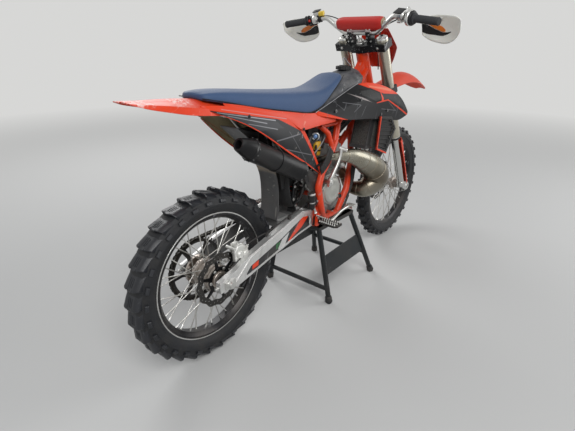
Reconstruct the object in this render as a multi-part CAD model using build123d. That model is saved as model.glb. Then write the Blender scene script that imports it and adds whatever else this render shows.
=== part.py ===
"""Full-size two-stroke motocross bike standing on a steel paddock stand.

Millimetres. While it is modelled, X runs forward from the rear axle, Y to the left and Z up
from the floor. Everything is moved along X at the end, so that the origin lies on the floor
under the middle of the whole bike. Sideways distances named OUT are measured from the middle.
"""
from build123d import *
from math import cos, radians, sin, sqrt, tan
import os

# Driving dimensions of the bike
WHEELBASE = 1485
REAR_AXLE_Z = 346
FRONT_AXLE_Z = 351
REAR_TYRE_R = 342
FRONT_TYRE_R = 347
REAR_TYRE_W = 110
FRONT_TYRE_W = 88
REAR_BLOCK_H = 14
FRONT_BLOCK_H = 12
REAR_PITCHES = 30
FRONT_PITCHES = 32
RAKE_DEG = 26.1
CLAMP_OFFSET = 22
AXLE_LEAD = 25.6
FORK_LENGTH = 959
FORK_OUT = 106
FENDER_TAIL_X = -273
RUNNING_GAP = 0.05
REST_GAP = 0.3

# Paddock stand
STAND_TOP_Z = 384
STAND_TOP_MID = 701
STAND_TOP_HALF = 136
STAND_TOP_OUT = 118
STAND_FOOT_MID = 772
STAND_FOOT_HALF = 204
STAND_FOOT_OUT = 192
STAND_DECK_T = 12
STAND_DECK_EDGE = 10
STAND_TUBE_R = 12.5

# Where the tank's nose, the radiators and the front of the frame hang, ahead of the engine
NOSE_X = WHEELBASE - 585

# Frame tubes
MAIN_TUBE_R = 16
DOWN_TUBE_R = 19
HEAD_TUBE_R = 31
STEM_R = 15
CRADLE_Z = STAND_TOP_Z + REST_GAP + MAIN_TUBE_R

# Steering parts, measured along the steering axis from the front axle
LOWER_CLAMP_H = 40
UPPER_CLAMP_H = 35
CAP_RISE = 26
CLAMP_SPACING = 248
UPPER_CLAMP_Z = FORK_LENGTH - CAP_RISE - UPPER_CLAMP_H
LOWER_CLAMP_Z = UPPER_CLAMP_Z - CLAMP_SPACING
HEAD_GAP = 5
OUTER_TUBE_R = 29
OUTER_TUBE_Z = 375
LEG_R = 24
GUARD_R = 40
GUARD_T = 3
GUARD_TOP_Z = 362

# Handlebar, in the steering parts' own directions
BAR_R = 11.1
BAR_CENTRE = (-35, FORK_LENGTH + 18)
BAR_END = (-76, FORK_LENGTH + 83)
BAR_END_OUT = 403
BAR_KNEE_OUT = 152
CROSSBAR = (-22, FORK_LENGTH + 57)
PAD_R = 29
PAD_OUT = 121
GRIP_R = 16.5
GRIP_LENGTH = 118

# Wheels
REAR_RIM_R = 241.3
FRONT_RIM_R = 266.7
RIM_LIP = 14
REAR_RIM_W = 62
FRONT_RIM_W = 50
SPOKES = 36
SPOKE_R = 2
REAR_AXLE_R = 12.5
FRONT_AXLE_R = 13
AXLE_BORE_R = 8
REAR_HUB_OUT = 75
FRONT_HUB_OUT = 74
REAR_AXLE_OUT = 127
FRONT_AXLE_OUT = 132
REAR_DISC_R = 110
FRONT_DISC_R = 130
REAR_DISC_OUT = 62
FRONT_DISC_OUT = 66
DISC_T = 4
DISC_GAP = 5.5

# Final drive
CHAIN_OUT = 68
CHAIN_W = 15
CHAIN_PITCH = 15.875
REAR_TEETH = 50
FRONT_TEETH = 13
COUNTERSHAFT = (612, 450)
ENGINE_BOLTS = ((798, 470), (700, 408))
PIVOT = (551, 431)
PIVOT_R = 28

# Engine
CRANK = (735, 495)
CLUTCH = (642, 545)
CLUTCH_R = 66
CASE_HALF_W = 70

# Exhaust
SILENCER_TAIL = (67, -122, 858)
SILENCER_SLOPE_DEG = 26.5
SILENCER_LENGTH = 390
SILENCER_CONE = 62
SILENCER_R = 41

PLASTIC_T = 4
HOSE_R = 3
CABLE_R = 2.5
SHOCK_Y = -24


def pitch_radius(teeth):
    return CHAIN_PITCH / (2 * sin(radians(180 / teeth)))


def steering(x, y, z):
    """A point given in the steering parts' own directions, as a point of the bike."""
    rake = radians(RAKE_DEG)
    return Vector(
        WHEELBASE + x * cos(rake) - z * sin(rake), y, FRONT_AXLE_Z + x * sin(rake) + z * cos(rake)
    )


FORK_X = -AXLE_LEAD
AXIS_X = FORK_X - CLAMP_OFFSET
STEERING = Location(
    Plane(
        origin=(WHEELBASE, 0, FRONT_AXLE_Z),
        x_dir=(cos(radians(RAKE_DEG)), 0, sin(radians(RAKE_DEG))),
        z_dir=(-sin(radians(RAKE_DEG)), 0, cos(radians(RAKE_DEG))),
    )
)


def mirrored(shape):
    return mirror(shape, about=Plane.XZ)


def both(shape):
    """The piece and its mirror image, as one part of two solids."""
    return Part() + [shape, mirrored(shape)]


def rod(start, end, radius, bore=0):
    """A round bar or tube between two points."""
    run = Vector(end) - Vector(start)
    plane = Plane(origin=start, z_dir=run)
    body = Part(Solid.make_cylinder(radius, run.length, plane).wrapped)
    if bore:
        body -= Part(Solid.make_cylinder(bore, run.length, plane).wrapped)
    return body


def cone(start, end, start_r, end_r):
    if start_r == end_r:
        return rod(start, end, start_r)
    run = Vector(end) - Vector(start)
    return Part(Solid.make_cone(start_r, end_r, run.length, Plane(origin=start, z_dir=run)).wrapped)


def disc(x, z, y0, y1, radius, bore=0):
    """A round plate across the bike, from y0 to y1."""
    return rod((x, y0, z), (x, y1, z), radius, bore)


def bent(points, radius, bend):
    """A round tube along straight runs joined by arcs."""
    path = FilletPolyline(*points, radius=bend)
    return sweep(Plane(origin=path @ 0, z_dir=path % 0) * Circle(radius), path=path)


def block(x0, x1, y0, y1, z0, z1):
    return Pos((x0 + x1) / 2, (y0 + y1) / 2, (z0 + z1) / 2) * Box(abs(x1 - x0), abs(y1 - y0), abs(z1 - z0))


def side_plate(outline, y0, y1):
    """A flat plate across the bike from y0 to y1, its outline given as (x, z)."""
    face = make_face(Polyline(*[(x, min(y0, y1), z) for x, z in outline], close=True))
    return extrude(face, amount=abs(y1 - y0), dir=(0, 1, 0))


def top_plate(outline, z0, z1):
    """A flat plate from z0 up to z1, its outline given as (x, y)."""
    face = make_face(Polyline(*[(x, y, z0) for x, y in outline], close=True))
    return extrude(face, amount=z1 - z0, dir=(0, 0, 1))


def skin(sections, offset):
    """A thin moulded wall through sections of points, as thick as offset."""
    rings = []
    for points in sections:
        outer = [Vector(p) for p in points]
        inner = [p + Vector(offset) for p in reversed(outer)]
        rings.append(make_face(Polyline(*outer, *inner, close=True)))
    return loft(rings, ruled=True)


def lathe(profile, x, z):
    """A ring about a wheel's axle, its section given as (y, radius)."""
    face = make_face(Polyline(*[(r, y) for y, r in profile], close=True))
    return Pos(x, 0, z) * revolve(face, axis=Axis.Y)


def faceted_ring(section, count):
    """A closed ring of flat facets about the Y axis, its section given as (y, radius)."""
    def corner(point, i):
        turn = radians(360 / count * (i % count - 0.5))
        return (point[1] * sin(turn), point[0], point[1] * cos(turn))

    facets = []
    for i in range(count):
        for a, b in zip(section, section[1:] + section[:1]):
            around = [corner(a, i), corner(a, i + 1), corner(b, i + 1), corner(b, i)]
            facets.append(make_face(Polyline(*around, close=True)))
    return Solid(Shell(facets))


def oblong(middle, length, width):
    """A rectangle's corners, its middle that far ahead."""
    front = middle + length / 2
    back = middle - length / 2
    y = width / 2
    return [(back, -y), (front, -y), (front, y), (back, y)]


def tread_block(outline, tilt, across, base, height):
    """One block of the tread at the top of the tyre, leaning outwards by tilt."""
    foot = make_face(Polyline(*[(x, y, -5) for x, y in outline], close=True))
    body = extrude(foot, amount=height + 5)
    return Pos(0, across, base) * Rot(-tilt if across > 0 else tilt, 0, 0) * body


def broad_block(x0, x1, base, section):
    """One block right across the tread, its section given as (y, height above the crown)."""
    face = make_face(Polyline(*[(x0, y, base + z) for y, z in section], close=True))
    return extrude(face, amount=x1 - x0, dir=(1, 0, 0))


def tyre(outer_r, rim_r, width, rim_w, crown, pitches, block_h, broad, rows, x, z):
    """A casing of one flat facet to each pitch of the tread, with the tread's blocks on it."""
    half = width / 2
    bead = rim_w / 2 - 3.5
    clear = 1 / cos(radians(180 / pitches))
    base = outer_r - block_h
    side = [
        (bead, (rim_r + REST_GAP) * clear),
        (bead, (rim_r + RIM_LIP) * clear),
        (half - 6, rim_r + 0.5 * (outer_r - rim_r)),
        (crown, base),
    ]
    casing = faceted_ring(side + [(-y, r) for y, r in reversed(side)], pitches)
    blocks = []
    pattern = [broad_block(*BROAD_BLOCK[:2], base, BROAD_BLOCK[2])] if broad else []
    for across, tilt, drop, height, outline in rows:
        pattern += [tread_block(outline, tilt, place, base - drop, height) for place in (across, -across)]
    for i in range(pitches):
        blocks += [Rot(0, 360 / pitches * i, 0) * body for body in pattern]
    return Pos(x, 0, z) * (casing + blocks)


# The rear tread's broad block: its two ends along the tread, and its section right across
BROAD_BLOCK = (-24, 20, [(-40, -14), (40, -14), (40, 2), (21, REAR_BLOCK_H - 1), (-21, REAR_BLOCK_H - 1), (-40, 2)])

# Rows of the tread: across, outward tilt, drop below the crown, height, outline
REAR_ROWS = ((44, 62, 27, 8, oblong(-12, 28, 15)),)
FRONT_ROWS = (
    (11.5, 3, 0, FRONT_BLOCK_H - 1, oblong(-16, 18, 17)),
    (29, 54, 15, FRONT_BLOCK_H - 2, oblong(14, 20, 15)),
)


def rim(rim_r, width, x, z):
    half = width / 2
    side = [
        (half, rim_r + 2),
        (half, rim_r + RIM_LIP),
        (half - 3, rim_r + RIM_LIP),
        (half - 3, rim_r),
    ]
    inner = [(-half + 16, rim_r - 12), (half - 16, rim_r - 12)]
    return lathe(side + [(-y, r) for y, r in reversed(side)] + inner, x, z)


def spokes(rim_r, flange_r, flange_out, x, z):
    """Crossed spokes between the hub's two flanges and the rim."""
    rods = []
    cross_deg = 42
    for i in range(SPOKES):
        side = 1 if i % 2 else -1
        lean = 1 if (i // 2) % 2 else -1
        at_rim = radians(360 / SPOKES * i)
        at_hub = at_rim + radians(lean * cross_deg)
        out = flange_out + (4 if lean > 0 else -4)
        low = (x + flange_r * cos(at_hub), side * out, z + flange_r * sin(at_hub))
        rim_in = rim_r - 12 - 0.9
        high = (x + rim_in * cos(at_rim), side * 5, z + rim_in * sin(at_rim))
        rods.append(rod(low, high, SPOKE_R))
    return Part() + rods


def hub(axle_r, barrel_r, flange_r, flange_out, end_out, end_r, x, z):
    bore = axle_r + RUNNING_GAP
    half = [
        (end_out, bore),
        (end_out, end_r),
        (flange_out + 7, end_r + 2),
        (flange_out + 6, flange_r),
        (flange_out - 6, flange_r),
        (flange_out - 11, barrel_r),
    ]
    return lathe(half + [(-y, r) for y, r in reversed(half)], x, z)


def brake_disc(radius, out, bolt_r, waves, x, z):
    """A thin wavy disc with an open middle, carried by six arms."""
    y0 = out - DISC_T / 2
    y1 = out + DISC_T / 2
    ring = disc(x, z, y0, y1, radius, radius - 26)
    for i in range(waves):
        turn = radians(360 / waves * i)
        notch = (x + (radius + 9) * cos(turn), z + (radius + 9) * sin(turn))
        ring -= disc(notch[0], notch[1], y0 - 1, y1 + 1, 14)
    carrier = disc(x, z, y0, y1, bolt_r + 8, bolt_r - 10)
    for i in range(6):
        turn = 60 * i
        arm = Pos(bolt_r + (radius - bolt_r) / 2 - 8, 0, 0) * Box(radius - bolt_r - 12, DISC_T, 13)
        carrier += Pos(x, out, z) * Rot(0, turn, 0) * arm
    return ring + carrier


REAR = (0, REAR_AXLE_Z)
FRONT = (WHEELBASE, FRONT_AXLE_Z)


def rear_wheel():
    flange_r = 42
    flange_out = 34
    sprocket_r = pitch_radius(REAR_TEETH) - 6
    sprocket = disc(*REAR, CHAIN_OUT - 3, CHAIN_OUT + 3, sprocket_r, 46)
    for i in range(6):
        turn = radians(60 * i + 30)
        sprocket -= disc(82 * cos(turn), REAR_AXLE_Z + 82 * sin(turn), CHAIN_OUT - 5, CHAIN_OUT + 5, 27)
    hub_body = hub(REAR_AXLE_R, 27, flange_r + 6, flange_out, REAR_HUB_OUT, 28, *REAR)
    hub_body += disc(*REAR, CHAIN_OUT - 12, CHAIN_OUT - 3 - REST_GAP, 62, 27)
    hub_body += disc(*REAR, -REAR_DISC_OUT + DISC_T / 2 + REST_GAP, -REAR_DISC_OUT + 12, 56, 27)
    return {
        "rear_tyre": tyre(REAR_TYRE_R, REAR_RIM_R, REAR_TYRE_W, REAR_RIM_W, 30, REAR_PITCHES, REAR_BLOCK_H, True, REAR_ROWS, *REAR),
        "rear_rim": rim(REAR_RIM_R, REAR_RIM_W, *REAR),
        "rear_spokes": spokes(REAR_RIM_R, flange_r + 5, flange_out, *REAR),
        "rear_hub": hub_body,
        "rear_sprocket": sprocket,
        "rear_disc": brake_disc(REAR_DISC_R, -REAR_DISC_OUT, 44, 12, *REAR),
    }


def front_wheel():
    flange_r = 30
    flange_out = 34
    hub_body = hub(FRONT_AXLE_R, 22, flange_r + 6, flange_out, FRONT_HUB_OUT, 24, *FRONT)
    hub_body += disc(*FRONT, FRONT_DISC_OUT - 12, FRONT_DISC_OUT - DISC_T / 2 - REST_GAP, 52, 22)
    return {
        "front_tyre": tyre(FRONT_TYRE_R, FRONT_RIM_R, FRONT_TYRE_W, FRONT_RIM_W, 20, FRONT_PITCHES, FRONT_BLOCK_H, False, FRONT_ROWS, *FRONT),
        "front_rim": rim(FRONT_RIM_R, FRONT_RIM_W, *FRONT),
        "front_spokes": spokes(FRONT_RIM_R, flange_r + 5, flange_out, *FRONT),
        "front_hub": hub_body,
        "front_disc": brake_disc(FRONT_DISC_R, FRONT_DISC_OUT, 42, 14, *FRONT),
    }


def frame():
    """Steel cradle frame: head tube, two main loops, one down tube and its crosspieces."""
    loop = [
        tuple(steering(AXIS_X - 18, 14, LOWER_CLAMP_Z + 150)),
        (NOSE_X + 50, 40, 950),
        (760, 66, 832),
        (716, 84, 750),
        (640, 106, 690),
        (552, 130, 648),
        (524, 134, 590),
        (545, 132, 515),
        (592, 116, 430),
        (650, 98, CRADLE_Z),
        (740, 98, CRADLE_Z),
        (822, 94, 500),
        (NOSE_X + 5, 62, 610),
        (NOSE_X + 75, 10, 745),
    ]
    bends = [60, 60, 30, 50, 36, 50, 60, 40, 60, 30, 60, 60]
    rails = bent(loop, MAIN_TUBE_R, [r * 0.6 for r in bends])
    body = rails + mirrored(rails)
    head_low = LOWER_CLAMP_Z + LOWER_CLAMP_H + HEAD_GAP
    head_high = UPPER_CLAMP_Z - HEAD_GAP
    head = rod(steering(AXIS_X, 0, head_low), steering(AXIS_X, 0, head_high), HEAD_TUBE_R)
    down = bent(
        [(NOSE_X + 60, 0, 715), (NOSE_X + 140, 0, 870), tuple(steering(AXIS_X - 8, 0, LOWER_CLAMP_Z + 90))],
        DOWN_TUBE_R,
        100,
    )
    x = NOSE_X
    gusset = side_plate(
        [(x + 192, 1120), (x + 176, 1122), (x + 85, 1010), (x + 100, 965), (x + 185, 960)], -18, 18
    )
    body = body + head + down + gusset
    body += rod((716, -84, 750), (716, 84, 750), 13)
    body += rod((534, -132, 548), (534, 132, 548), 11)
    body += rod((650, -98, CRADLE_Z), (650, 98, CRADLE_Z), 13)
    for x, z in ENGINE_BOLTS:
        body += disc(x, z, -98, 98, 8)
    for side in (1, -1):
        body += side_plate([(524, 402), (575, 398), (602, 436), (556, 500), (524, 470)], side * 107, side * 119)
        body += bent(
            [(610, side * 74, 836), (652, side * 88, 800), (668, side * 100, 740), (640, side * 106, 690)],
            12,
            30,
        )
        body += rod((610, side * 74, 836), (760, side * 66, 832), 12)
    body += rod((610, -74, 836), (610, 74, 836), 12)
    bore = rod(steering(AXIS_X, 0, head_low - 5), steering(AXIS_X, 0, head_high + 5), STEM_R + RUNNING_GAP)
    pivot = disc(*PIVOT, -140, 140, 10 + RUNNING_GAP)
    return body - bore - pivot


def subframe():
    """Light rear frame under the seat, bolted behind the main loops."""
    upper = bent([(604, 64, 838), (440, 66, 880), (200, 62, 928), (72, 54, 948)], 9, 60)
    lower = bent([(532, 96, 556), (470, 70, 640), (330, 68, 790), (200, 62, 921)], 9, 60)
    body = both(upper) + both(lower)
    for x, z, out in ((440, 880, 66), (200, 928, 62), (78, 947, 54)):
        body += rod((x, -out, z), (x, out, z), 8)
    return body


def swingarm():
    """Cast alloy arm: two deep beams, a pivot tube and a crosspiece ahead of the tyre."""
    thick = side_plate(
        [(-46, 324), (-46, 366), (30, 386), (114, 420), (300, 466), (450, 496), (520, 474),
         (551, 459), (579, 431), (551, 403), (420, 392), (262, 366), (60, 322)], 79, 118,
    )
    plan = top_plate(
        [(-50, 94), (-50, 118), (300, 118), (470, 106), (590, 104), (590, 79), (420, 79), (350, 86), (60, 94)],
        300, 520,
    )
    left = thick & plan
    left -= disc(*PIVOT, -140, 140, 10 + RUNNING_GAP)
    left -= disc(*REAR, -140, 140, REAR_AXLE_R + RUNNING_GAP)
    left -= side_plate([(96, 352), (128, 366), (252, 402), (300, 428), (292, 440), (120, 392)], 110, 130)
    right = mirrored(left)
    centre = block(384, 462, -84, 84, 412, 452)
    centre += rod((PIVOT[0], -84, PIVOT[1]), (PIVOT[0], 84, PIVOT[1]), PIVOT_R)
    centre -= disc(*PIVOT, -140, 140, 10 + RUNNING_GAP)
    return {"swingarm_left": left, "swingarm_right": right, "swingarm_centre": centre - left - right}


def rear_axle():
    body = disc(*REAR, -REAR_AXLE_OUT, REAR_AXLE_OUT, REAR_AXLE_R, AXLE_BORE_R)
    for y0, y1 in ((118 + REST_GAP, 126), (-126, -118 - REST_GAP)):
        body += side_plate([(-22, 330), (24, 330), (24, 362), (-22, 362)], y0, y1)
    body -= disc(*REAR, -140, 140, AXLE_BORE_R)
    for side in (1, -1):
        body += disc(*REAR, side * (REAR_HUB_OUT + 0.5), side * (94 - REST_GAP), 20, AXLE_BORE_R)
    return body


def chain():
    """The drive chain as one closed loop of its side plates' height, and the small sprocket."""
    big = pitch_radius(REAR_TEETH)
    small = pitch_radius(FRONT_TEETH)
    y0 = CHAIN_OUT - CHAIN_W / 2
    half_in = 5.1
    half_out = 7.6
    dx = COUNTERSHAFT[0]
    dz = COUNTERSHAFT[1] - REAR_AXLE_Z
    length = sqrt(dx * dx + dz * dz)
    from_line = Vector(dx, 0, dz) * (1 / length)
    up = Vector(-from_line.Z, 0, from_line.X)

    def loop(extra):
        r1 = big + extra
        r2 = small + extra
        lean = (r1 - r2) / length
        tilt = sqrt(1 - lean * lean)
        faces = disc(*REAR, y0, y0 + CHAIN_W, r1) + disc(*COUNTERSHAFT, y0, y0 + CHAIN_W, r2)
        corners = []
        for sign in (1, -1):
            normal = from_line * lean + up * (sign * tilt)
            a = Vector(0, 0, REAR_AXLE_Z) + normal * r1
            b = Vector(COUNTERSHAFT[0], 0, COUNTERSHAFT[1]) + normal * r2
            corners += [(a.X, a.Z), (b.X, b.Z)] if sign > 0 else [(b.X, b.Z), (a.X, a.Z)]
        return faces + side_plate(corners, y0, y0 + CHAIN_W)

    return loop(half_out) - loop(-half_in)


def engine_cases():
    gearbox = side_plate(
        [(584, 440), (606, 404), (700, 402), (700, 572), (610, 566), (584, 520)], -CASE_HALF_W, 46
    )
    crank = side_plate(
        [(676, 402), (790, 404), (828, 440), (832, 500), (806, 560), (690, 573)], -60, 60
    )
    clutch_drum = disc(*CLUTCH, -112, -CASE_HALF_W + 4, 76)
    ignition_drum = disc(*CRANK, 56, 84, 46)
    boss = disc(*COUNTERSHAFT, 40, CHAIN_OUT - 3 - REST_GAP, 15)
    kick = side_plate([(566, 500), (556, 606), (572, 622), (588, 606), (640, 560)], -92, -40)
    return gearbox + crank + clutch_drum + ignition_drum + boss + kick


def engine_covers():
    clutch = disc(*CLUTCH, -128, -112 - REST_GAP, CLUTCH_R) + cone(
        (CLUTCH[0], -128, CLUTCH[1]), (CLUTCH[0], -138, CLUTCH[1]), CLUTCH_R - 4, CLUTCH_R - 16
    )
    ignition = disc(*CRANK, 84 + REST_GAP, 92, 44) + cone(
        (CRANK[0], 92, CRANK[1]), (CRANK[0], 98, CRANK[1]), 41, 34
    )
    return Part() + [clutch, ignition]


def cylinder():
    barrel = side_plate([(698, 573 + REST_GAP), (806, 561.5), (812, 690), (704, 700)], -54, 54)
    barrel &= block(690, 820, -54, 54, 573 + REST_GAP, 720)
    head = side_plate([(700, 690), (816, 680), (812, 722), (706, 730)], -58, 58)
    port = rod((790, -14, 622), (842, -22, 600), 30)
    valve = rod((770, -50, 640), (770, -84, 640), 26) + Pos(770, -84, 640) * Sphere(26)
    plug = rod((758, 0, 722), (756, 0, 768), 10)
    return barrel + head + port + valve + plug


def expansion_pipe():
    """Hand-rolled cone pipe: out of the port, down and forward, then up and back on the right."""
    stations = [
        ((838, -14, 606), 23),
        ((880, -16, 578), 24),
        ((906, -30, 530), 26),
        ((908, -62, 488), 30),
        ((915, -105, 478), 38),
        ((938, -145, 488), 50),
        ((985, -165, 534), 66),
        ((936, -173, 592), 63),
        ((868, -174, 634), 55),
        ((815, -172, 662), 47),
        ((756, -168, 686), 38),
        ((700, -154, 700), 29),
        ((650, -142, 706), 20),
        ((600, -124, 706), 14),
        ((520, -100, 690), 13),
        ((450, -108, 666), 13),
        ((402, -120, 690), 16),
    ]
    body = Part()
    for (a, ra), (b, rb) in zip(stations, stations[1:]):
        body += cone(a, b, ra, rb)
    for point, radius in stations[1:-1]:
        body += Pos(*point) * Sphere(radius)
    return body


def silencer():
    x, y, z = SILENCER_TAIL
    slope = radians(SILENCER_SLOPE_DEG)

    def at(run):
        return (x + run * cos(slope), y, z - run * sin(slope))

    body = cone(at(0), at(SILENCER_CONE), 24, SILENCER_R - 3)
    body += rod(at(SILENCER_CONE), at(SILENCER_LENGTH - 20), SILENCER_R)
    body += cone(at(SILENCER_LENGTH - 20), at(SILENCER_LENGTH + 10), SILENCER_R - 2, 20)
    body -= rod(at(-1), at(60), 14)
    return body


def carburettor():
    """Intake rubber, carburettor body with its float bowl, and the rubber to the airbox."""
    body = rod((700, 0, 628), (660, 0, 640), 26)
    body += rod((660, 0, 640), (600, 0, 658), 30)
    body += rod((634, 0, 648), (626, 0, 596), 25)
    body += rod((622, 0, 652), (636, 0, 700), 24)
    body += rod((600, 0, 658), (548, 40, 684), 24)
    body += Pos(548, 40, 684) * Sphere(24)
    body += rod((548, 40, 684), (486, 34, 706), 24)
    return body


def airbox():
    outline = [(462, 640), (440, 603), (371, 603), (357, 681), (305, 753), (237, 823), (237, 862), (510, 862), (512, 760)]
    return side_plate(outline, -56, 56)


def shock():
    """Rear shock between the swingarm and the frame: body with reservoir, and its spring."""
    y = SHOCK_Y
    low = (478, y, 474)
    mid = (560, y, 680)
    high = (606, y, 792)
    body = rod(low, mid, 9) + rod(mid, high, 25)
    body += disc(low[0], low[2], y - 14, y + 14, 15) + disc(610, 806, y - 14, y + 14, 17)
    body += rod((650, y - 14, 728), (674, y - 14, 808), 24) + rod((596, y, 768), (662, y - 14, 772), 14)
    body += disc(low[0], low[2], y - 13, y + 13, 12)
    for share in (0.16, 0.72):
        spot = Vector(low) + (Vector(high) - Vector(low)) * share
        tip = Vector(low) + (Vector(high) - Vector(low)) * (share + 0.03)
        body += rod(spot, tip, 36)
    return body


def shock_spring():
    """The coil spring's room, as a sleeve between its two seats on the shock."""
    low = Vector(478, SHOCK_Y, 474)
    high = Vector(606, SHOCK_Y, 792)
    run = high - low
    return rod(low + run * 0.192, low + run * 0.718, 35, 27)


def radiators():
    """Two radiators beside the down tube, each a core between its top and bottom tanks."""
    x = NOSE_X
    core = side_plate([(x - 12, 708), (x + 26, 703), (x + 85, 905), (x + 48, 912)], -148, -64)
    low = side_plate([(x - 20, 696), (x + 30, 690), (x + 36, 706), (x - 14, 712)], -152, -60)
    high = side_plate([(x + 40, 905), (x + 90, 898), (x + 94, 918), (x + 46, 926)], -152, -60)
    stays = rod((x + 52, -70, 716), (x + 58, -26, 716), 7) + rod((x + 62, -140, 856), (x + 62, -182, 856), 7)
    return both(core + low + high + stays)


def louvres():
    """Slatted guards at the front of the radiators."""
    x = NOSE_X
    outline = [(x + 30, 690), (x + 135, 650), (x + 222, 765), (x + 166, 832), (x + 46, 848)]
    guard = side_plate(outline, -187, -181)
    return both(guard)


def fuel_tank():
    sections = [
        (600, 60, 872, 935, 45),
        (680, 92, 843, 978, 70),
        (800, 100, 880, 1028, 72),
        (NOSE_X + 5, 96, 946, 1056, 56),
        (NOSE_X + 68, 60, 986, 1056, 44),
    ]
    faces = []
    for x, half, low, high, top in sections:
        waist = low + 0.5 * (high - low)
        ring = [(half, waist), (top, high - 14), (0, high), (-top, high - 14), (-half, waist)]
        ring += [(-half * 0.7, low), (half * 0.7, low)]
        faces.append(make_face(Polyline(*[(x, y, z) for y, z in ring], close=True)))
    body = loft(faces, ruled=True)
    body += rod((NOSE_X - 11, 0, 1040), (NOSE_X - 8, 0, 1072), 30)
    for side in (1, -1):
        body += rod((800, side * 80, 940), (800, side * 151, 940), 8)
    return body


def shrouds():
    """Side shrouds from under the seat to the points beside the fork."""
    rows = [
        (530, (-104, 907), (-106, 902), (-107, 895)),
        (676, (-104, 948), (-136, 902), (-150, 862)),
        (840, (-112, 1001), (-165, 934), (-172, 848)),
        (NOSE_X + 100, (-152, 985), (-184, 925), (-182, 826)),
        (NOSE_X + 235, (-178, 932), (-190, 880), (-185, 800)),
        (NOSE_X + 336, (-190, 836), (-190, 829), (-189, 822)),
    ]
    wall = skin([[(x, y, z) for y, z in points] for x, *points in rows], (0, PLASTIC_T, 0))
    return both(wall)


def seat():
    sections = [
        (-22, 58, 1005, 1026),
        (60, 80, 991, 1024),
        (150, 90, 966, 1017),
        (333, 99, 932, 1001),
        (500, 101, 903, 992),
        (610, 94, 929, 993),
        (700, 84, 980, 1004),
        (800, 66, 1030, 1048),
    ]
    faces = []
    for x, half, low, high in sections:
        ring = [(half, low), (half, low + 0.45 * (high - low)), (half * 0.8, high - 5), (0, high)]
        ring += [(-y, z) for y, z in reversed(ring[:-1])]
        faces.append(make_face(Polyline(*[(x, y, z) for y, z in ring], close=True)))
    return loft(faces, ruled=True)


def rear_fender():
    """Tail fender over the wheel, closed underneath the seat."""
    rows = [
        (FENDER_TAIL_X, (-46, 1012), (0, 1016)),
        (-232, (-68, 998), (0, 1014)),
        (-160, (-92, 986), (0, 1012)),
        (-86, (-104, 970), (0, 1009)),
        (60, (-92, 950), (0, 993)),
        (92, (-88, 944), (0, 986)),
    ]
    sections = []
    for x, low, top in rows:
        ridge = (low[0] * 0.55, top[1] - 0.25 * (top[1] - low[1]))
        half = [(x, *low), (x, *ridge), (x, *top)]
        sections.append(half + [(a, -b, c) for a, b, c in reversed(half[:-1])])
    return skin(sections, (0, 0, -PLASTIC_T))


def inner_fender():
    """Curved wall between the rear wheel and the airbox, with the mud flap under it."""
    arc = [(150, 890), (232, 820), (300, 750), (352, 678), (366, 600), (366, 520), (352, 462)]
    ring = arc + [(x + 5, z + 3) for x, z in reversed(arc)]
    return side_plate(ring, -50, 50)


def side_panels():
    rows = [
        (-54, (-88, 993), (-92, 984)),
        (63, (-100, 984), (-112, 940)),
        (168, (-106, 958), (-132, 888)),
        (300, (-111, 926), (-140, 792)),
        (395, (-116, 896), (-140, 735)),
        (445, (-122, 840), (-138, 706)),
        (500, (-128, 742), (-132, 672)),
        (548, (-128, 662), (-130, 644)),
    ]
    wall = skin([[(x, y, z) for y, z in points] for x, *points in rows], (0, PLASTIC_T, 0))
    return both(wall)


def rear_brake():
    """Caliper on the right of the swingarm, its bracket and its reservoir hose fitting."""
    y = -REAR_DISC_OUT
    body = side_plate([(52, 388), (100, 372), (142, 400), (130, 446), (88, 470), (50, 440)], y - 26, y + 20)
    body -= disc(*REAR, y - DISC_T / 2 - DISC_GAP, y + DISC_T / 2 + DISC_GAP, REAR_DISC_R + DISC_GAP)
    bracket = side_plate([(-20, 326), (30, 322), (120, 396), (104, 420), (-6, 372)], -93.7, y - 22)
    return body + bracket - disc(*REAR, -140, 140, 20 + RUNNING_GAP)


def footpegs():
    body = Part()
    for side in (1, -1):
        body += block(508, 556, side * 150, side * 246, 428, 446)
        body += rod((536, side * 128, 437), (532, side * 152, 437), 12)
        body += block(512, 560, side * 118, side * 136, 412, 452)
    return body


def foot_controls():
    """Rear brake pedal and its upright pump on the right; gear lever on the left."""
    pedal = bent([(590, -144, 410), (620, -150, 410), (690, -156, 440), (760, -158, 440)], 6, 20)
    pedal += block(742, 776, -184, -146, 432, 448)
    pedal += disc(590, 410, -152, -112, 11)
    shift = bent([(668, 90, 432), (668, 124, 432), (710, 138, 446), (768, 140, 476)], 6, 12)
    shift += disc(770, 478, 128, 164, 9) + disc(668, 432, 46, 126, 8)
    pump = rod((492, -128, 500), (488, -128, 548), 11) + rod((488, -128, 544), (486.5, -128, 566), 15)
    pump += block(488, 534, -132, -124, 516, 540)
    return Part() + [pedal, shift, pump]


def kick_lever():
    body = disc(572, 606, -166, -92, 11)
    body += bent([(572, -162, 606), (582, -168, 640), (618, -176, 700), (626, -176, 752)], 8, 30)
    body += rod((626, -172, 750), (634, -196, 744), 8)
    return body


def chain_guide():
    """Lower roller, the guide block ahead of the sprocket and the slider on the pivot."""
    guide = side_plate([(196, 214), (262, 226), (264, 262), (262, 300), (236, 372), (206, 368), (196, 292)], 60.5, 94)
    slot = side_plate([(190, 226), (270, 240), (270, 276), (190, 264)], CHAIN_OUT - 10, CHAIN_OUT + 10)
    return guide - slot


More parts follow.
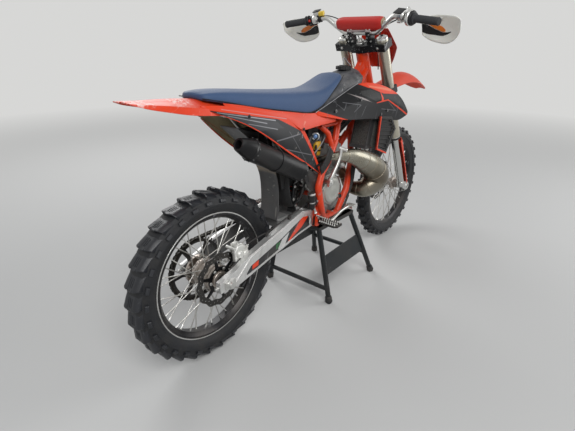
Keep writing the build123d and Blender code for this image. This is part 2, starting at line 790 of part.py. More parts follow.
def stand():
    """Four splayed tube legs with low crossbars, side plates and a padded top."""
    top_z = STAND_TOP_Z - STAND_DECK_T - 1
    body = Part()

    def leg_point(front, side, z):
        part = (top_z - z) / top_z
        x = STAND_TOP_MID + front * STAND_TOP_HALF
        x += part * (STAND_FOOT_MID + front * STAND_FOOT_HALF - x)
        y = side * (STAND_TOP_OUT + part * (STAND_FOOT_OUT - STAND_TOP_OUT))
        return (x, y, z)

    for front in (1, -1):
        for side in (1, -1):
            body += rod(leg_point(front, side, 0), leg_point(front, side, top_z), STAND_TUBE_R)
    for side in (1, -1):
        plate = [
            leg_point(1, side, 245),
            leg_point(-1, side, 235),
            leg_point(-1, side, 140),
            leg_point(1, side, 145),
        ]
        face = make_face(Polyline(*[Vector(p) for p in plate], close=True))
        body += extrude(face, amount=2.5, both=True)
    body += rod(leg_point(-1, -1, 72), leg_point(-1, 1, 72), 11)
    body += rod(leg_point(1, -1, 130), leg_point(1, 1, 130), 11)
    x0 = STAND_TOP_MID - STAND_TOP_HALF - STAND_DECK_EDGE
    x1 = STAND_TOP_MID + STAND_TOP_HALF + STAND_DECK_EDGE
    out = STAND_TOP_OUT + STAND_DECK_EDGE
    body += block(x0, x1, -out, out, top_z - 5, STAND_TOP_Z)
    return body & block(0, 1400, -400, 400, 0, 500)


def clamp(z0, z1, sweep_back):
    outline = [
        (FORK_X - 40, -FORK_OUT - 30),
        (FORK_X + 34, -FORK_OUT - 30),
        (FORK_X + 34, -FORK_OUT + 30),
        (FORK_X + 12, -40),
        (FORK_X + 12, 40),
        (FORK_X + 34, FORK_OUT - 30),
        (FORK_X + 34, FORK_OUT + 30),
        (FORK_X - 40, FORK_OUT + 30),
        (FORK_X - 40, FORK_OUT - 34),
        (AXIS_X - sweep_back, 34),
        (AXIS_X - sweep_back, -34),
        (FORK_X - 40, -FORK_OUT + 34),
    ]
    return top_plate(outline, z0, z1)


def triple_clamps():
    """Both fork clamps, the stem and the handlebar mounts."""
    low = clamp(LOWER_CLAMP_Z, LOWER_CLAMP_Z + LOWER_CLAMP_H, 34)
    high = clamp(UPPER_CLAMP_Z, UPPER_CLAMP_Z + UPPER_CLAMP_H, 34)
    stem = rod((AXIS_X, 0, LOWER_CLAMP_Z), (AXIS_X, 0, UPPER_CLAMP_Z + UPPER_CLAMP_H + 14), STEM_R)
    body = low + high + stem
    for side in (1, -1):
        body -= rod((FORK_X, side * FORK_OUT, LOWER_CLAMP_Z - 50), (FORK_X, side * FORK_OUT, FORK_LENGTH + 20), OUTER_TUBE_R)
        x, z = BAR_CENTRE
        body += block(x - 20, x + 20, side * 38, side * 62, UPPER_CLAMP_Z + UPPER_CLAMP_H - 5, z + 12)
    body -= rod((BAR_CENTRE[0], -90, BAR_CENTRE[1]), (BAR_CENTRE[0], 90, BAR_CENTRE[1]), BAR_R)
    return STEERING * body


def fork_tubes():
    """Outer tubes held by the clamps, and their caps."""
    body = Part()
    for side in (1, -1):
        y = side * FORK_OUT
        body += rod((FORK_X, y, OUTER_TUBE_Z), (FORK_X, y, FORK_LENGTH - 12), OUTER_TUBE_R, LEG_R + REST_GAP)
        body += rod((FORK_X, y, FORK_LENGTH - 16), (FORK_X, y, FORK_LENGTH), 24)
    return STEERING * body


def fork_legs():
    """Sliders inside the outer tubes, with the axle lugs at their feet."""
    body = Part()
    for side in (1, -1):
        y = side * FORK_OUT
        body += rod((FORK_X, y, 24), (FORK_X, y, OUTER_TUBE_Z + 120), LEG_R)
        y0, y1 = side * (FORK_OUT - 26), side * (FORK_OUT + 24)
        body += block(FORK_X - 24, FORK_X + 42, y0, y1, -14, 44)
        body += disc(0, 0, y0, y1, 24)
    body -= disc(0, 0, -200, 200, FRONT_AXLE_R + RUNNING_GAP)
    return STEERING * body


def front_axle():
    body = disc(0, 0, -FRONT_AXLE_OUT, FRONT_AXLE_OUT, FRONT_AXLE_R, AXLE_BORE_R)
    return STEERING * body


def fork_guards():
    """Half-round plastic guards in front of the sliders."""
    body = Part()
    for side in (1, -1):
        y = side * FORK_OUT
        tube = rod((FORK_X, y, 20), (FORK_X, y, GUARD_TOP_Z), GUARD_R, GUARD_R - GUARD_T)
        keep = block(FORK_X - 6, FORK_X + 80, side * (FORK_OUT - 28), side * (FORK_OUT + 80), 44, GUARD_TOP_Z)
        body += tube & keep
        body += block(FORK_X + 2, FORK_X + 36, y - 8, y + 8, 44 + REST_GAP, 60)
    return STEERING * body


def front_fender():
    """Front mudguard, its rows measured from the foot of the lower clamp."""
    foot = steering(AXIS_X, 0, LOWER_CLAMP_Z)
    rows = [
        (22, (-44, 18), (-26, 28), (0, 30)),
        (106, (-54, 30), (-32, 48), (0, 54)),
        (171, (-62, 24), (-40, 54), (0, 70)),
        (317, (-68, 44), (-44, 84), (0, 102)),
        (484, (-66, 32), (-40, 64), (0, 76)),
        (604, (-54, -2), (-30, 20), (0, 26)),
        (667, (-30, -20), (-16, -15), (0, -14)),
    ]
    sections = []
    for x, *points in rows:
        half = [(foot.X + x, y, foot.Z + z) for y, z in points]
        sections.append(half + [(a, -b, c) for a, b, c in reversed(half[:-1])])
    return skin(sections, (0, 0, -PLASTIC_T))


def number_plate():
    """The blank front plate, a shallow shell measured from the foot of the upper clamp."""
    foot = steering(AXIS_X, 0, UPPER_CLAMP_Z)
    rows = [
        (143, 73, 96),
        (158, 85, 69),
        (185, 108, 14),
        (215, 80, -46),
        (229, 56, -84),
    ]
    sections = []
    for dx, half, dz in rows:
        x, z = foot.X + dx, foot.Z + dz
        sections.append([(x - 16, -half, z), (x, -half * 0.6, z), (x, half * 0.6, z), (x - 16, half, z)])
    stay = rod((foot.X + 181, 0, foot.Z + 22), (foot.X + 19, 0, foot.Z + 29), 6)
    return skin(sections, (-PLASTIC_T, 0, 0)) + stay


def handlebar():
    x, z = BAR_CENTRE
    end_x, end_z = BAR_END
    half = [
        (x, 0, z),
        (x, 88, z),
        (x + 6, BAR_KNEE_OUT + 28, z + 74),
        (end_x, BAR_END_OUT, end_z),
    ]
    right = bent(half, BAR_R, 36)
    cross = rod((CROSSBAR[0], -126, CROSSBAR[1]), (CROSSBAR[0], 126, CROSSBAR[1]), 6)
    return STEERING * (right + mirrored(right) + cross)


def bar_pad():
    body = rod((CROSSBAR[0], -PAD_OUT, CROSSBAR[1]), (CROSSBAR[0], PAD_OUT, CROSSBAR[1]), PAD_R, 6 + REST_GAP)
    return STEERING * body


def bar_line(out):
    """Where the bar's centreline is, at a distance out from the middle."""
    knee = Vector(BAR_CENTRE[0] + 6, BAR_KNEE_OUT + 28, BAR_CENTRE[1] + 74)
    end = Vector(BAR_END[0], BAR_END_OUT, BAR_END[1])
    return knee + (end - knee) * ((out - knee.Y) / (end.Y - knee.Y))


def grips():
    start = bar_line(BAR_END_OUT - GRIP_LENGTH)
    grip = rod(start, bar_line(BAR_END_OUT + 6), GRIP_R) - rod(bar_line(250), bar_line(BAR_END_OUT), BAR_R + 0.1)
    flange = rod(start, bar_line(BAR_END_OUT - GRIP_LENGTH + 6), 23, BAR_R + 0.1)
    return STEERING * both(grip + flange)


def controls():
    """Throttle housing, brake and clutch perches with their levers, and the master cylinder."""
    bar_gap = BAR_R + 0.1
    body = Part()
    right = rod(bar_line(282), bar_line(258), 24, bar_gap) + rod(bar_line(252), bar_line(226), 19, bar_gap)
    lever = bent([tuple(bar_line(238) + Vector(26, 0, -6)), tuple(bar_line(262) + Vector(44, 0, -10)),
                  tuple(bar_line(400) + Vector(52, 0, -14))], 6, 12)
    perch = rod(bar_line(239) + Vector(14, 0, -2), bar_line(239) + Vector(34, 0, -7), 10)
    right += perch + lever
    body = right + mirrored(right)
    return STEERING * body


def hand_guards():
    rows = [
        (285, (68, -110), (76, -70), (70, -34)),
        (345, (76, -132), (88, -66), (80, -14)),
        (405, (76, -132), (88, -60), (80, -10)),
        (445, (66, -108), (74, -52), (70, -8)),
        (474, (46, -62), (50, -34), (48, -12)),
    ]
    sections = []
    for out, *points in rows:
        base = bar_line(min(out, BAR_END_OUT))
        sections.append([(base.X + dx, out, base.Z + dz) for dx, dz in points])
    shell = skin(sections, (-PLASTIC_T, 0, 0))
    start = bar_line(214)
    stay = bent([tuple(start), tuple(start + Vector(58, 26, -16)), (bar_line(292).X + 75, 292, bar_line(292).Z - 46)], 5, 14)
    clampring = rod(bar_line(222), bar_line(206), 16)
    stay = (stay + clampring) - rod(bar_line(180), bar_line(300), BAR_R + 0.1)
    return STEERING * both(shell + stay)


def hose(points, radius):
    """A hose held along its whole way, with arcs as large as its runs allow."""
    corners = [Vector(p) for p in points]
    runs = [b - a for a, b in zip(corners, corners[1:])]
    bends = []
    for before, after in zip(runs, runs[1:]):
        half_turn = radians(before.get_angle(after) / 2)
        bends.append(0.45 * min(before.length, after.length) / tan(half_turn))
    path = FilletPolyline(*corners, radius=bends)
    return sweep(Plane(origin=path @ 0, z_dir=path % 0) * Circle(radius), path=path)


def front_brake_hose():
    """From the right lever's pump, in front of the clamps, down inside the left leg to the caliper."""
    top = BAR_CENTRE[1] - 36
    pump = bar_line(239)
    route = [
        (pump.X + 24, -pump.Y + 8, pump.Z - 5),
        (pump.X + 40, -pump.Y + 46, pump.Z - 22),
        (10, -128, top + 58),
        (20, -66, top + 22),
        (24, -2, top - 12),
        (22, 56, top - 62),
        (16, 76, top - 130),
        (14, 80, top - 200),
        (15, 82, top - 270),
        (8, 76, top - 340),
        (-12, 70, top - 410),
        (-30, 68, 450),
        (-46, 70, 370),
        (-66, 76, 300),
        (-82, 80, 220),
        (-88, 80, 142),
    ]
    return STEERING * hose(route, HOSE_R)


def control_cables():
    """Throttle cable on the right and clutch hose on the left, from the bar to before the head tube."""
    top = BAR_CENTRE[1] - 36
    body = []
    for side in (1, -1):
        lever = bar_line(270)
        route = [
            (lever.X + 22, side * 262, lever.Z + 6),
            (lever.X + 40, side * 214, lever.Z + 10),
            (14, side * 158, top + 92),
            (26, side * 104, top + 52),
            (34, side * 62, top + 2),
            (32, side * 46, top - 60),
            (22, side * 42, top - 120),
            (10, side * 40, top - 176),
        ]
        body.append(hose(route, CABLE_R))
    return STEERING * (Part() + body)


def rear_brake_hose():
    """From the pedal's pump beside the frame, along the top of the right beam to the caliper."""
    route = [
        (562, -112, 508),
        (530, -104, 516),
        (490, -101, 517),
        (436, -100, 509),
        (370, -99, 496),
        (300, -97, 480),
        (232, -94, 466),
        (176, -88, 462),
        (124, -80, 446),
    ]
    return hose(route, HOSE_R)


def front_brake():
    """Caliper behind the left slider, and its hose guide."""
    y = FRONT_DISC_OUT
    body = side_plate([(-60, 60), (-58, 128), (-86, 140), (-122, 118), (-116, 66), (-84, 44)], y - 20, y + 24)
    body -= disc(0, 0, y - DISC_T / 2 - DISC_GAP, y + DISC_T / 2 + DISC_GAP, FRONT_DISC_R + DISC_GAP)
    tab = side_plate([(-62, 60), (-62, 100), (-44, 100), (-44, 60)], y + 14, y + 24)
    return STEERING * (body + tab)


NODES = {}
NODES.update(rear_wheel())
NODES.update(front_wheel())
NODES["rear_axle"] = rear_axle()
NODES["frame"] = frame()
NODES["subframe"] = subframe()
NODES.update(swingarm())
NODES["drive_chain"] = chain()
NODES["chain_guide"] = chain_guide()
NODES["engine_cases"] = engine_cases()
NODES["engine_covers"] = engine_covers()
NODES["cylinder"] = cylinder()
NODES["carburettor"] = carburettor()
NODES["expansion_pipe"] = expansion_pipe()
NODES["silencer"] = silencer()
NODES["airbox"] = airbox()
NODES["shock_body"] = shock()
NODES["shock_spring"] = shock_spring()
NODES["radiators"] = radiators()
NODES["louvres"] = louvres()
NODES["fuel_tank"] = fuel_tank()
NODES["shrouds"] = shrouds()
NODES["seat"] = seat()
NODES["rear_fender"] = rear_fender()
NODES["inner_fender"] = inner_fender()
NODES["side_panels"] = side_panels()
NODES["rear_brake"] = rear_brake()
NODES["footpegs"] = footpegs()
NODES["foot_controls"] = foot_controls()
NODES["kick_lever"] = kick_lever()
NODES["paddock_stand"] = stand()
NODES["triple_clamps"] = triple_clamps()
NODES["fork_tubes"] = fork_tubes()
NODES["fork_legs"] = fork_legs()
NODES["fork_guards"] = fork_guards()
NODES["front_axle"] = front_axle()
NODES["front_fender"] = front_fender()
NODES["number_plate"] = number_plate()
NODES["handlebar"] = handlebar()
NODES["bar_pad"] = bar_pad()
NODES["grips"] = grips()
NODES["controls"] = controls()
NODES["hand_guards"] = hand_guards()
NODES["front_brake"] = front_brake()
NODES["front_brake_hose"] = front_brake_hose()
NODES["control_cables"] = control_cables()
NODES["rear_brake_hose"] = rear_brake_hose()

# What each piece is cut to, where it sits against its neighbours
SEATED_AGAINST = {
    "rear_spokes": ["rear_hub"],
    "front_spokes": ["front_hub"],
    "engine_cases": ["frame"],
    "subframe": ["frame"],
    "airbox": ["carburettor", "subframe"],
    "carburettor": ["cylinder"],
    "shock_body": ["frame", "swingarm_centre", "airbox", "carburettor"],
    "shock_spring": ["shock_body", "frame", "swingarm_centre", "airbox", "carburettor", "engine_cases"],
    "expansion_pipe": ["cylinder", "silencer", "frame"],
    "fuel_tank": ["seat", "frame"],
    "radiators": ["frame"],
    "shrouds": ["fuel_tank", "radiators"],
    "louvres": ["shrouds"],
    "side_panels": ["frame", "silencer"],
    "rear_fender": ["seat", "subframe"],
    "rear_brake": ["swingarm_right"],
    "chain_guide": ["drive_chain", "swingarm_left"],
    "footpegs": ["frame"],
    "foot_controls": ["frame", "engine_cases"],
    "kick_lever": ["engine_cases"],
    "fork_guards": ["fork_legs"],
    "front_fender": ["triple_clamps", "fork_tubes"],
    "number_plate": ["triple_clamps"],
    "bar_pad": ["handlebar", "triple_clamps"],
    "hand_guards": ["controls"],
    "front_brake_hose": ["controls", "hand_guards"],
    "control_cables": ["controls", "hand_guards", "front_brake_hose"],
    "rear_brake_hose": ["frame", "rear_brake"],
}
for name, others in SEATED_AGAINST.items():
    for other in others:
        NODES[name] = NODES[name] - NODES[other]

X_MIDDLE = (min(FENDER_TAIL_X, -REAR_TYRE_R) + WHEELBASE + FRONT_TYRE_R) / 2
os.makedirs("parts", exist_ok=True)
for name, shape in NODES.items():
    export_step(Pos(-X_MIDDLE, 0, 0) * shape, f"parts/{name}.step")
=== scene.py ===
"""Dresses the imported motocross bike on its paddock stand: bodywork, running gear and studio.

Part sizes are written in millimetres from the rear axle, as on a workshop drawing: x runs forward,
y to the rider's left, z up from the floor. at() turns them into the scene's metres.
"""
import bpy
import bmesh
from math import asin, atan2, cos, hypot, pi, radians, sin, sqrt
from mathutils import Matrix, Vector


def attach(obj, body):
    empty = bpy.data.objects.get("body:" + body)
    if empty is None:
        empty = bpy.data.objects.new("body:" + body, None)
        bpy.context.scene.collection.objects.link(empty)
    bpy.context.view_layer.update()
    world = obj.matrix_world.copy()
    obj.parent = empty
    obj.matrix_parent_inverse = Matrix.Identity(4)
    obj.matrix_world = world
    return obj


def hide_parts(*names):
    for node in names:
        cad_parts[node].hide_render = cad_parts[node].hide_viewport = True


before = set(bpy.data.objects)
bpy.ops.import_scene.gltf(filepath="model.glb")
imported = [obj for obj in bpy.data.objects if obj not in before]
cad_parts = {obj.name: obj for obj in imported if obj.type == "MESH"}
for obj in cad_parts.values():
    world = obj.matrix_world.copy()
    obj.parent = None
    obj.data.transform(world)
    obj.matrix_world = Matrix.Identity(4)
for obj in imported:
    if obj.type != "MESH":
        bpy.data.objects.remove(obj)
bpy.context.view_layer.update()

# Sizes shared with the solids, in millimetres
MIDDLE_X = 745
REAR_AXLE = (0, 346)
FRONT_AXLE = (1485, 351)
RAKE = radians(26.1)
FORK_X = -25.6
AXIS_X = -47.6
LEG_OUT = 106
REAR_RIM_R = 241.3
REAR_TYRE_R = 342
FRONT_RIM_R = 266.7
FRONT_TYRE_R = 347
SPOKES = 36
CHAIN_OUT = 68
CHAIN_PITCH = 15.875
REAR_TEETH = 50
FRONT_TEETH = 13
COUNTERSHAFT = (612, 450)

# Lays a plate that is drawn on the bike's side flat, its second number running to the left
LAID_FLAT = Matrix(((1, 0, 0, 0), (0, 0, 1, 0), (0, 1, 0, 0), (0, 0, 0, 1)))
# From the drawing's millimetres to the scene's metres: for the bike, each wheel's axle, and the
# steering parts, whose z runs up along the fork from the front axle
BIKE = Matrix.Scale(0.001, 4) @ Matrix.Translation((-MIDDLE_X, 0, 0))
REAR = BIKE @ Matrix.Translation((REAR_AXLE[0], 0, REAR_AXLE[1]))
FRONT = BIKE @ Matrix.Translation((FRONT_AXLE[0], 0, FRONT_AXLE[1]))
FORK = BIKE @ Matrix.Translation((FRONT_AXLE[0], 0, FRONT_AXLE[1])) @ Matrix.Rotation(-RAKE, 4, "Y")


def at(x, y, z):
    """A point of the workshop drawing, in the scene's metres."""
    return BIKE @ Vector((x, y, z))


class Nodes:
    """One shader tree, with short ways to add a node and to join two."""

    def __init__(self, tree):
        self.tree = tree

    def add(self, kind, **settings):
        made = self.tree.nodes.new(kind)
        for name, value in settings.items():
            if hasattr(made, name):
                setattr(made, name, value)
            else:
                made.inputs[name.replace("_", " ")].default_value = value
        return made

    def join(self, output, target):
        self.tree.links.new(output, target)

    def feed(self, socket, value):
        """Sets a socket to a number or a colour, or joins another node's output to it."""
        if isinstance(value, (int, float)):
            socket.default_value = value
        elif isinstance(value, tuple):
            socket.default_value = (*value, 1)
        else:
            self.join(value, socket)

    def maths(self, operation, a, b, clamp=False):
        made = self.add("ShaderNodeMath", operation=operation, use_clamp=clamp)
        self.feed(made.inputs[0], a)
        self.feed(made.inputs[1], b)
        return made.outputs[0]

    def blend(self, factor, a, b, way="MIX"):
        """The colour a turning to b where the factor is 1."""
        made = self.add("ShaderNodeMix", data_type="RGBA", blend_type=way)
        for socket, value in ((made.inputs["Factor"], factor), (made.inputs[6], a), (made.inputs[7], b)):
            self.feed(socket, value)
        return made.outputs[2]

    def step(self, value, low, high, to_low=0.0, to_high=1.0):
        """Value taken from the range low..high to the range to_low..to_high."""
        made = self.add(
            "ShaderNodeMapRange", clamp=True, From_Min=low, From_Max=high, To_Min=to_low, To_Max=to_high
        )
        self.join(value, made.inputs["Value"])
        return made.outputs[0]

    def noise(self, place, scale, detail=4.0, roughness=0.55, stretch=(1, 1, 1)):
        spread = self.add("ShaderNodeMapping", Scale=stretch)
        self.join(place, spread.inputs["Vector"])
        made = self.add("ShaderNodeTexNoise", Scale=scale, Detail=detail, Roughness=roughness)
        self.join(spread.outputs[0], made.inputs["Vector"])
        return made.outputs["Fac"]


def shader_group(name, inputs, outputs):
    """A node group with named number inputs and outputs, and its Object coordinates."""
    tree = bpy.data.node_groups.new(name, "ShaderNodeTree")
    for label, value in inputs.items():
        socket = tree.interface.new_socket(label, in_out="INPUT", socket_type="NodeSocketFloat")
        socket.default_value = value
    for label in outputs:
        tree.interface.new_socket(label, in_out="OUTPUT", socket_type="NodeSocketFloat")
    pen = Nodes(tree)
    place = pen.add("ShaderNodeTexCoord").outputs["Object"]
    return pen, pen.add("NodeGroupInput"), pen.add("NodeGroupOutput"), place


def make_dirt_group():
    """Dried mud and dust: more of it low down, broken up in patches."""
    pen, given, result, place = shader_group(
        "mud_and_dust", {"Amount": 0.5, "Clean above": 0.9, "Patch scale": 9.0}, ["Mask", "Height"]
    )
    z = pen.add("ShaderNodeSeparateXYZ")
    pen.join(place, z.inputs[0])
    height = pen.maths("DIVIDE", z.outputs["Z"], given.outputs["Clean above"])
    low = pen.maths("SUBTRACT", 1.0, height, clamp=True)
    patches = pen.noise(place, 9.0, 8.0, 0.62)
    pen.join(given.outputs["Patch scale"], patches.node.inputs["Scale"])
    specks = pen.noise(place, 160.0, 3.0, 0.6)
    mixed = pen.maths("ADD", pen.maths("MULTIPLY", patches, 0.8), pen.maths("MULTIPLY", specks, 0.35))
    most = pen.maths("MULTIPLY", low, given.outputs["Amount"])
    mask = pen.maths("MULTIPLY", pen.step(mixed, 0.52, 0.72), most, clamp=True)
    pen.join(mask, result.inputs["Mask"])
    pen.join(pen.maths("MULTIPLY", mask, specks), result.inputs["Height"])


def make_scuff_group():
    """Fine scratches in two directions, gathered in patches, as boots and crashes leave them."""
    pen, given, result, place = shader_group("scuffs", {"Amount": 0.5, "Scale": 40.0}, ["Mask"])
    threads = []
    for stretch, turn in (((0.05, 1, 1.3), 0.5), ((1.1, 0.9, 0.06), -0.35)):
        turned = pen.add("ShaderNodeMapping", Rotation=(0, turn, turn * 0.6))
        pen.join(place, turned.inputs["Vector"])
        thread = pen.noise(turned.outputs[0], 60.0, 2.0, 0.5, stretch)
        pen.join(given.outputs["Scale"], thread.node.inputs["Scale"])
        threads.append(pen.step(thread, 0.66, 0.7))
    lines = pen.maths("MAXIMUM", *threads)
    patches = pen.step(pen.noise(place, 5.0, 3.0), 0.45, 0.62)
    scuffs = pen.maths("MULTIPLY", pen.maths("MULTIPLY", lines, patches), given.outputs["Amount"], clamp=True)
    pen.join(scuffs, result.inputs["Mask"])


def make_grain_group():
    """Moulded or cast grain, as a height."""
    pen, given, result, place = shader_group("grain", {"Scale": 700.0}, ["Height"])
    fine = pen.noise(place, 700.0, 2.0, 0.6)
    pen.join(given.outputs["Scale"], fine.node.inputs["Scale"])
    broad = pen.noise(place, 60.0, 4.0, 0.6)
    pen.join(pen.maths("ADD", fine, pen.maths("MULTIPLY", broad, 0.7)), result.inputs["Height"])


make_dirt_group()
make_scuff_group()
make_grain_group()


def shade(colour):
    """A colour's three values, where a plain grey is given as one."""
    return colour if isinstance(colour, tuple) else (colour,) * 3


class Finish:
    """A material being mixed: its colour and roughness so far, and its bump."""

    def __init__(self, name, colour, rough, metallic=0.0, **shader):
        self.material = bpy.data.materials.new(name)
        self.material.use_nodes = True
        self.pen = Nodes(self.material.node_tree)
        self.material.node_tree.nodes.clear()
        self.shader = self.pen.add("ShaderNodeBsdfPrincipled", Metallic=metallic, **shader)
        self.result = self.pen.add("ShaderNodeOutputMaterial")
        self.pen.join(self.shader.outputs[0], self.result.inputs[0])
        self.place = self.pen.add("ShaderNodeTexCoord").outputs["Object"]
        self.colour = shade(colour)
        self.rough = rough
        self.heights = []
        self.material.diffuse_color = (*self.colour, 1)

    def group(self, name, **values):
        return self.pen.add("ShaderNodeGroup", node_tree=bpy.data.node_groups[name], **values)

    def tint(self, mask, colour, rough=None):
        """Another colour, and another roughness, where the mask is."""
        self.colour = self.pen.blend(mask, self.colour, shade(colour))
        if rough is not None:
            self.rough = self.pen.maths(
                "ADD",
                self.pen.maths("MULTIPLY", self.rough, self.pen.maths("SUBTRACT", 1.0, mask)),
                self.pen.maths("MULTIPLY", mask, rough),
            )
        return self

    def vary(self, scale, amount, dark=0.75):
        """Slow change of shade over the surface."""
        cloud = self.pen.step(self.pen.noise(self.place, scale, 5.0), 0.3, 0.7, 0.0, amount)
        self.colour = self.pen.blend(cloud, self.colour, shade(dark), "MULTIPLY")
        return self

    def dirt(self, amount, clean_above=0.9, colour=(0.15, 0.125, 0.1), patch=9.0):
        mud = self.group("mud_and_dust", Amount=amount, Clean_above=clean_above, Patch_scale=patch)
        self.tint(mud.outputs["Mask"], colour, 0.92)
        self.heights.append((mud.outputs["Height"], 0.0006))
        return self

    def scuffed(self, amount, colour, rough=0.6, scale=40.0):
        return self.tint(self.group("scuffs", Amount=amount, Scale=scale).outputs["Mask"], colour, rough)

    def grained(self, depth, scale=700.0):
        self.heights.append((self.group("grain", Scale=scale).outputs["Height"], depth))
        return self

    def band(self, axis, low, high, soft=0.001):
        """A mask that is 1 between two places along an axis, given in the scene's metres."""
        part = self.pen.add("ShaderNodeSeparateXYZ")
        self.pen.join(self.place, part.inputs[0])
        value = part.outputs[axis]
        up = self.pen.step(value, low - soft, low + soft)
        down = self.pen.step(value, high - soft, high + soft)
        return self.pen.maths("SUBTRACT", up, down, clamp=True)

    def beside(self, start, end, soft=0.8):
        """A mask that is 1 on the upper side of a line drawn on the bike's side."""
        (x0, z0), (x1, z1) = start, end
        length = hypot(x1 - x0, z1 - z0)
        across = Vector(((z0 - z1) / length, 0, (x1 - x0) / length))
        dot = self.pen.add("ShaderNodeVectorMath", operation="DOT_PRODUCT")
        dot.inputs[1].default_value = across
        self.pen.join(self.place, dot.inputs[0])
        middle = across.dot(at(x0, 0, z0))
        return self.pen.step(dot.outputs["Value"], middle - soft / 1000, middle + soft / 1000)

    def zone(self, corners, soft=0.8):
        """A mask inside an outline with no inward corners, its upper edge drawn from left to right."""
        mask = None
        for start, end in zip(corners, corners[1:] + corners[:1]):
            outside = self.beside(start, end, soft)
            inside = self.pen.maths("SUBTRACT", 1.0, outside, clamp=True)
            mask = inside if mask is None else self.pen.maths("MINIMUM", mask, inside)
        return mask

    def line(self, start, end, wide, soft, taper=1.0):
        """A mask along a thin line drawn on the bike's side from left to right."""
        (x0, z0), (x1, z1) = start, end
        near = wide * taper
        return self.zone([(x0, z0 - near), (x0, z0 + near), (x1, z1 + wide), (x1, z1 - wide)], soft)

    def noise_dots(self, scale):
        """A mask of small dots, as a mesh or woven cloth has them."""
        dots = self.pen.add("ShaderNodeTexVoronoi", Scale=scale)
        self.pen.join(self.place, dots.inputs["Vector"])
        return self.pen.step(dots.outputs["Distance"], 0.22, 0.4)

    def done(self):
        """Joins the colour, roughness and bump to the shader."""
        pen = self.pen
        pen.feed(self.shader.inputs["Base Color"], self.colour)
        pen.feed(self.shader.inputs["Roughness"], self.rough)
        normal = None
        for height, depth in self.heights:
            bump = pen.add("ShaderNodeBump", Distance=depth, Strength=1.0)
            pen.join(height, bump.inputs["Height"])
            if normal is not None:
                pen.join(normal, bump.inputs["Normal"])
            normal = bump.outputs[0]
        if normal is not None:
            pen.join(normal, self.shader.inputs["Normal"])
        return self.material


ORANGE = (0.68, 0.043, 0.008)

orange_plastic = (
    Finish("orange_plastic", ORANGE, 0.36, Specular_IOR_Level=0.35).vary(6, 0.25, 0.8)
    .scuffed(0.45, (0.8, 0.55, 0.42), 0.6, 55).dirt(0.35, 0.8).grained(0.00005, 900).done()
)
orange_paint = (
    Finish("orange_paint", (0.7, 0.045, 0.007), 0.34, Specular_IOR_Level=0.4).vary(9, 0.3, 0.7)
    .scuffed(0.8, (0.3, 0.28, 0.27), 0.4, 70).dirt(0.8, 0.9).grained(0.00008, 500).done()
)
black_plastic = (
    Finish("black_plastic", (0.012, 0.012, 0.013), 0.5, Specular_IOR_Level=0.35).vary(8, 0.3)
    .scuffed(0.5, 0.12, 0.7).dirt(0.6, 0.95).grained(0.00012, 800).done()
)
tank_plastic = (
    Finish("tank_plastic", (0.085, 0.09, 0.1), 0.45).vary(26, 0.8, 0.35)
    .scuffed(0.9, (0.3, 0.31, 0.32), 0.7, 80).dirt(0.6, 3.2, (0.2, 0.19, 0.18), 30).grained(0.0001, 600)
    .done()
)
tyre_rubber = (
    Finish("tyre_rubber", (0.009, 0.01, 0.0125), 0.5, Specular_IOR_Level=0.4).vary(14, 0.5, 0.5)
    .dirt(0.3, 1.4, (0.05, 0.044, 0.037), 22).grained(0.0003, 350).done()
)
block_rubber = (
    Finish("block_rubber", (0.014, 0.0155, 0.02), 0.42, Specular_IOR_Level=0.5).vary(40, 0.6, 0.4)
    .scuffed(0.8, (0.05, 0.052, 0.058), 0.6, 120).grained(0.0004, 420).done()
)
soft_rubber = (
    Finish("soft_rubber", (0.016, 0.016, 0.017), 0.7).vary(20, 0.3).dirt(0.3, 1.2).grained(0.0001, 900).done()
)
rim_black = (
    Finish("rim_black", (0.012, 0.012, 0.014), 0.28, 0.5).vary(12, 0.3).scuffed(0.5, (0.3, 0.3, 0.32), 0.4)
    .dirt(0.3, 1.2, (0.16, 0.14, 0.125)).done()
)
bright_alloy = (
    Finish("bright_alloy", (0.72, 0.72, 0.7), 0.3, 1.0).vary(15, 0.25).scuffed(0.5, 0.4, 0.45).dirt(0.3, 1.1)
    .done()
)
hub_alloy = (
    Finish("hub_alloy", (0.5, 0.45, 0.41), 0.36, 1.0).vary(18, 0.35).dirt(0.6, 1.3).grained(0.00006, 900)
    .done()
)
cast_alloy = (
    Finish("cast_alloy", (0.56, 0.56, 0.54), 0.46, 0.9).vary(11, 0.35, 0.7)
    .scuffed(0.6, (0.33, 0.33, 0.32), 0.5).dirt(0.8, 0.9).grained(0.00025, 420).done()
)
engine_alloy = (
    Finish("engine_alloy", (0.42, 0.42, 0.41), 0.5, 0.85).vary(14, 0.4, 0.6).dirt(0.9, 1.0)
    .grained(0.0003, 380).done()
)
dark_alloy = (
    Finish("dark_alloy", (0.09, 0.09, 0.092), 0.5, 0.7).vary(14, 0.4).dirt(0.9, 1.0).grained(0.0003, 380)
    .done()
)
plain_steel = Finish("plain_steel", (0.5, 0.5, 0.49), 0.32, 1.0).vary(25, 0.35).dirt(0.35, 1.0).done()
spoke_steel = Finish("spoke_steel", (0.62, 0.61, 0.58), 0.35, 1.0).vary(30, 0.4).dirt(0.5, 1.3).done()
disc_steel = Finish("disc_steel", (0.07, 0.067, 0.064), 0.34, 1.0).vary(30, 0.35).done()
black_steel = (
    Finish("black_steel", (0.014, 0.014, 0.015), 0.38, 0.4).vary(12, 0.3)
    .scuffed(0.7, (0.3, 0.3, 0.29), 0.4, 60).dirt(0.5, 1.0).done()
)
anodised_black = (
    Finish("anodised_black", (0.014, 0.014, 0.015), 0.34, 0.8).vary(25, 0.3).scuffed(0.5, 0.3, 0.4, 90).done()
)
chain_steel = (
    Finish("chain_steel", (0.06, 0.056, 0.05), 0.36, 1.0).vary(60, 0.5, 0.5)
    .dirt(0.25, 0.9, (0.05, 0.045, 0.04)).done()
)
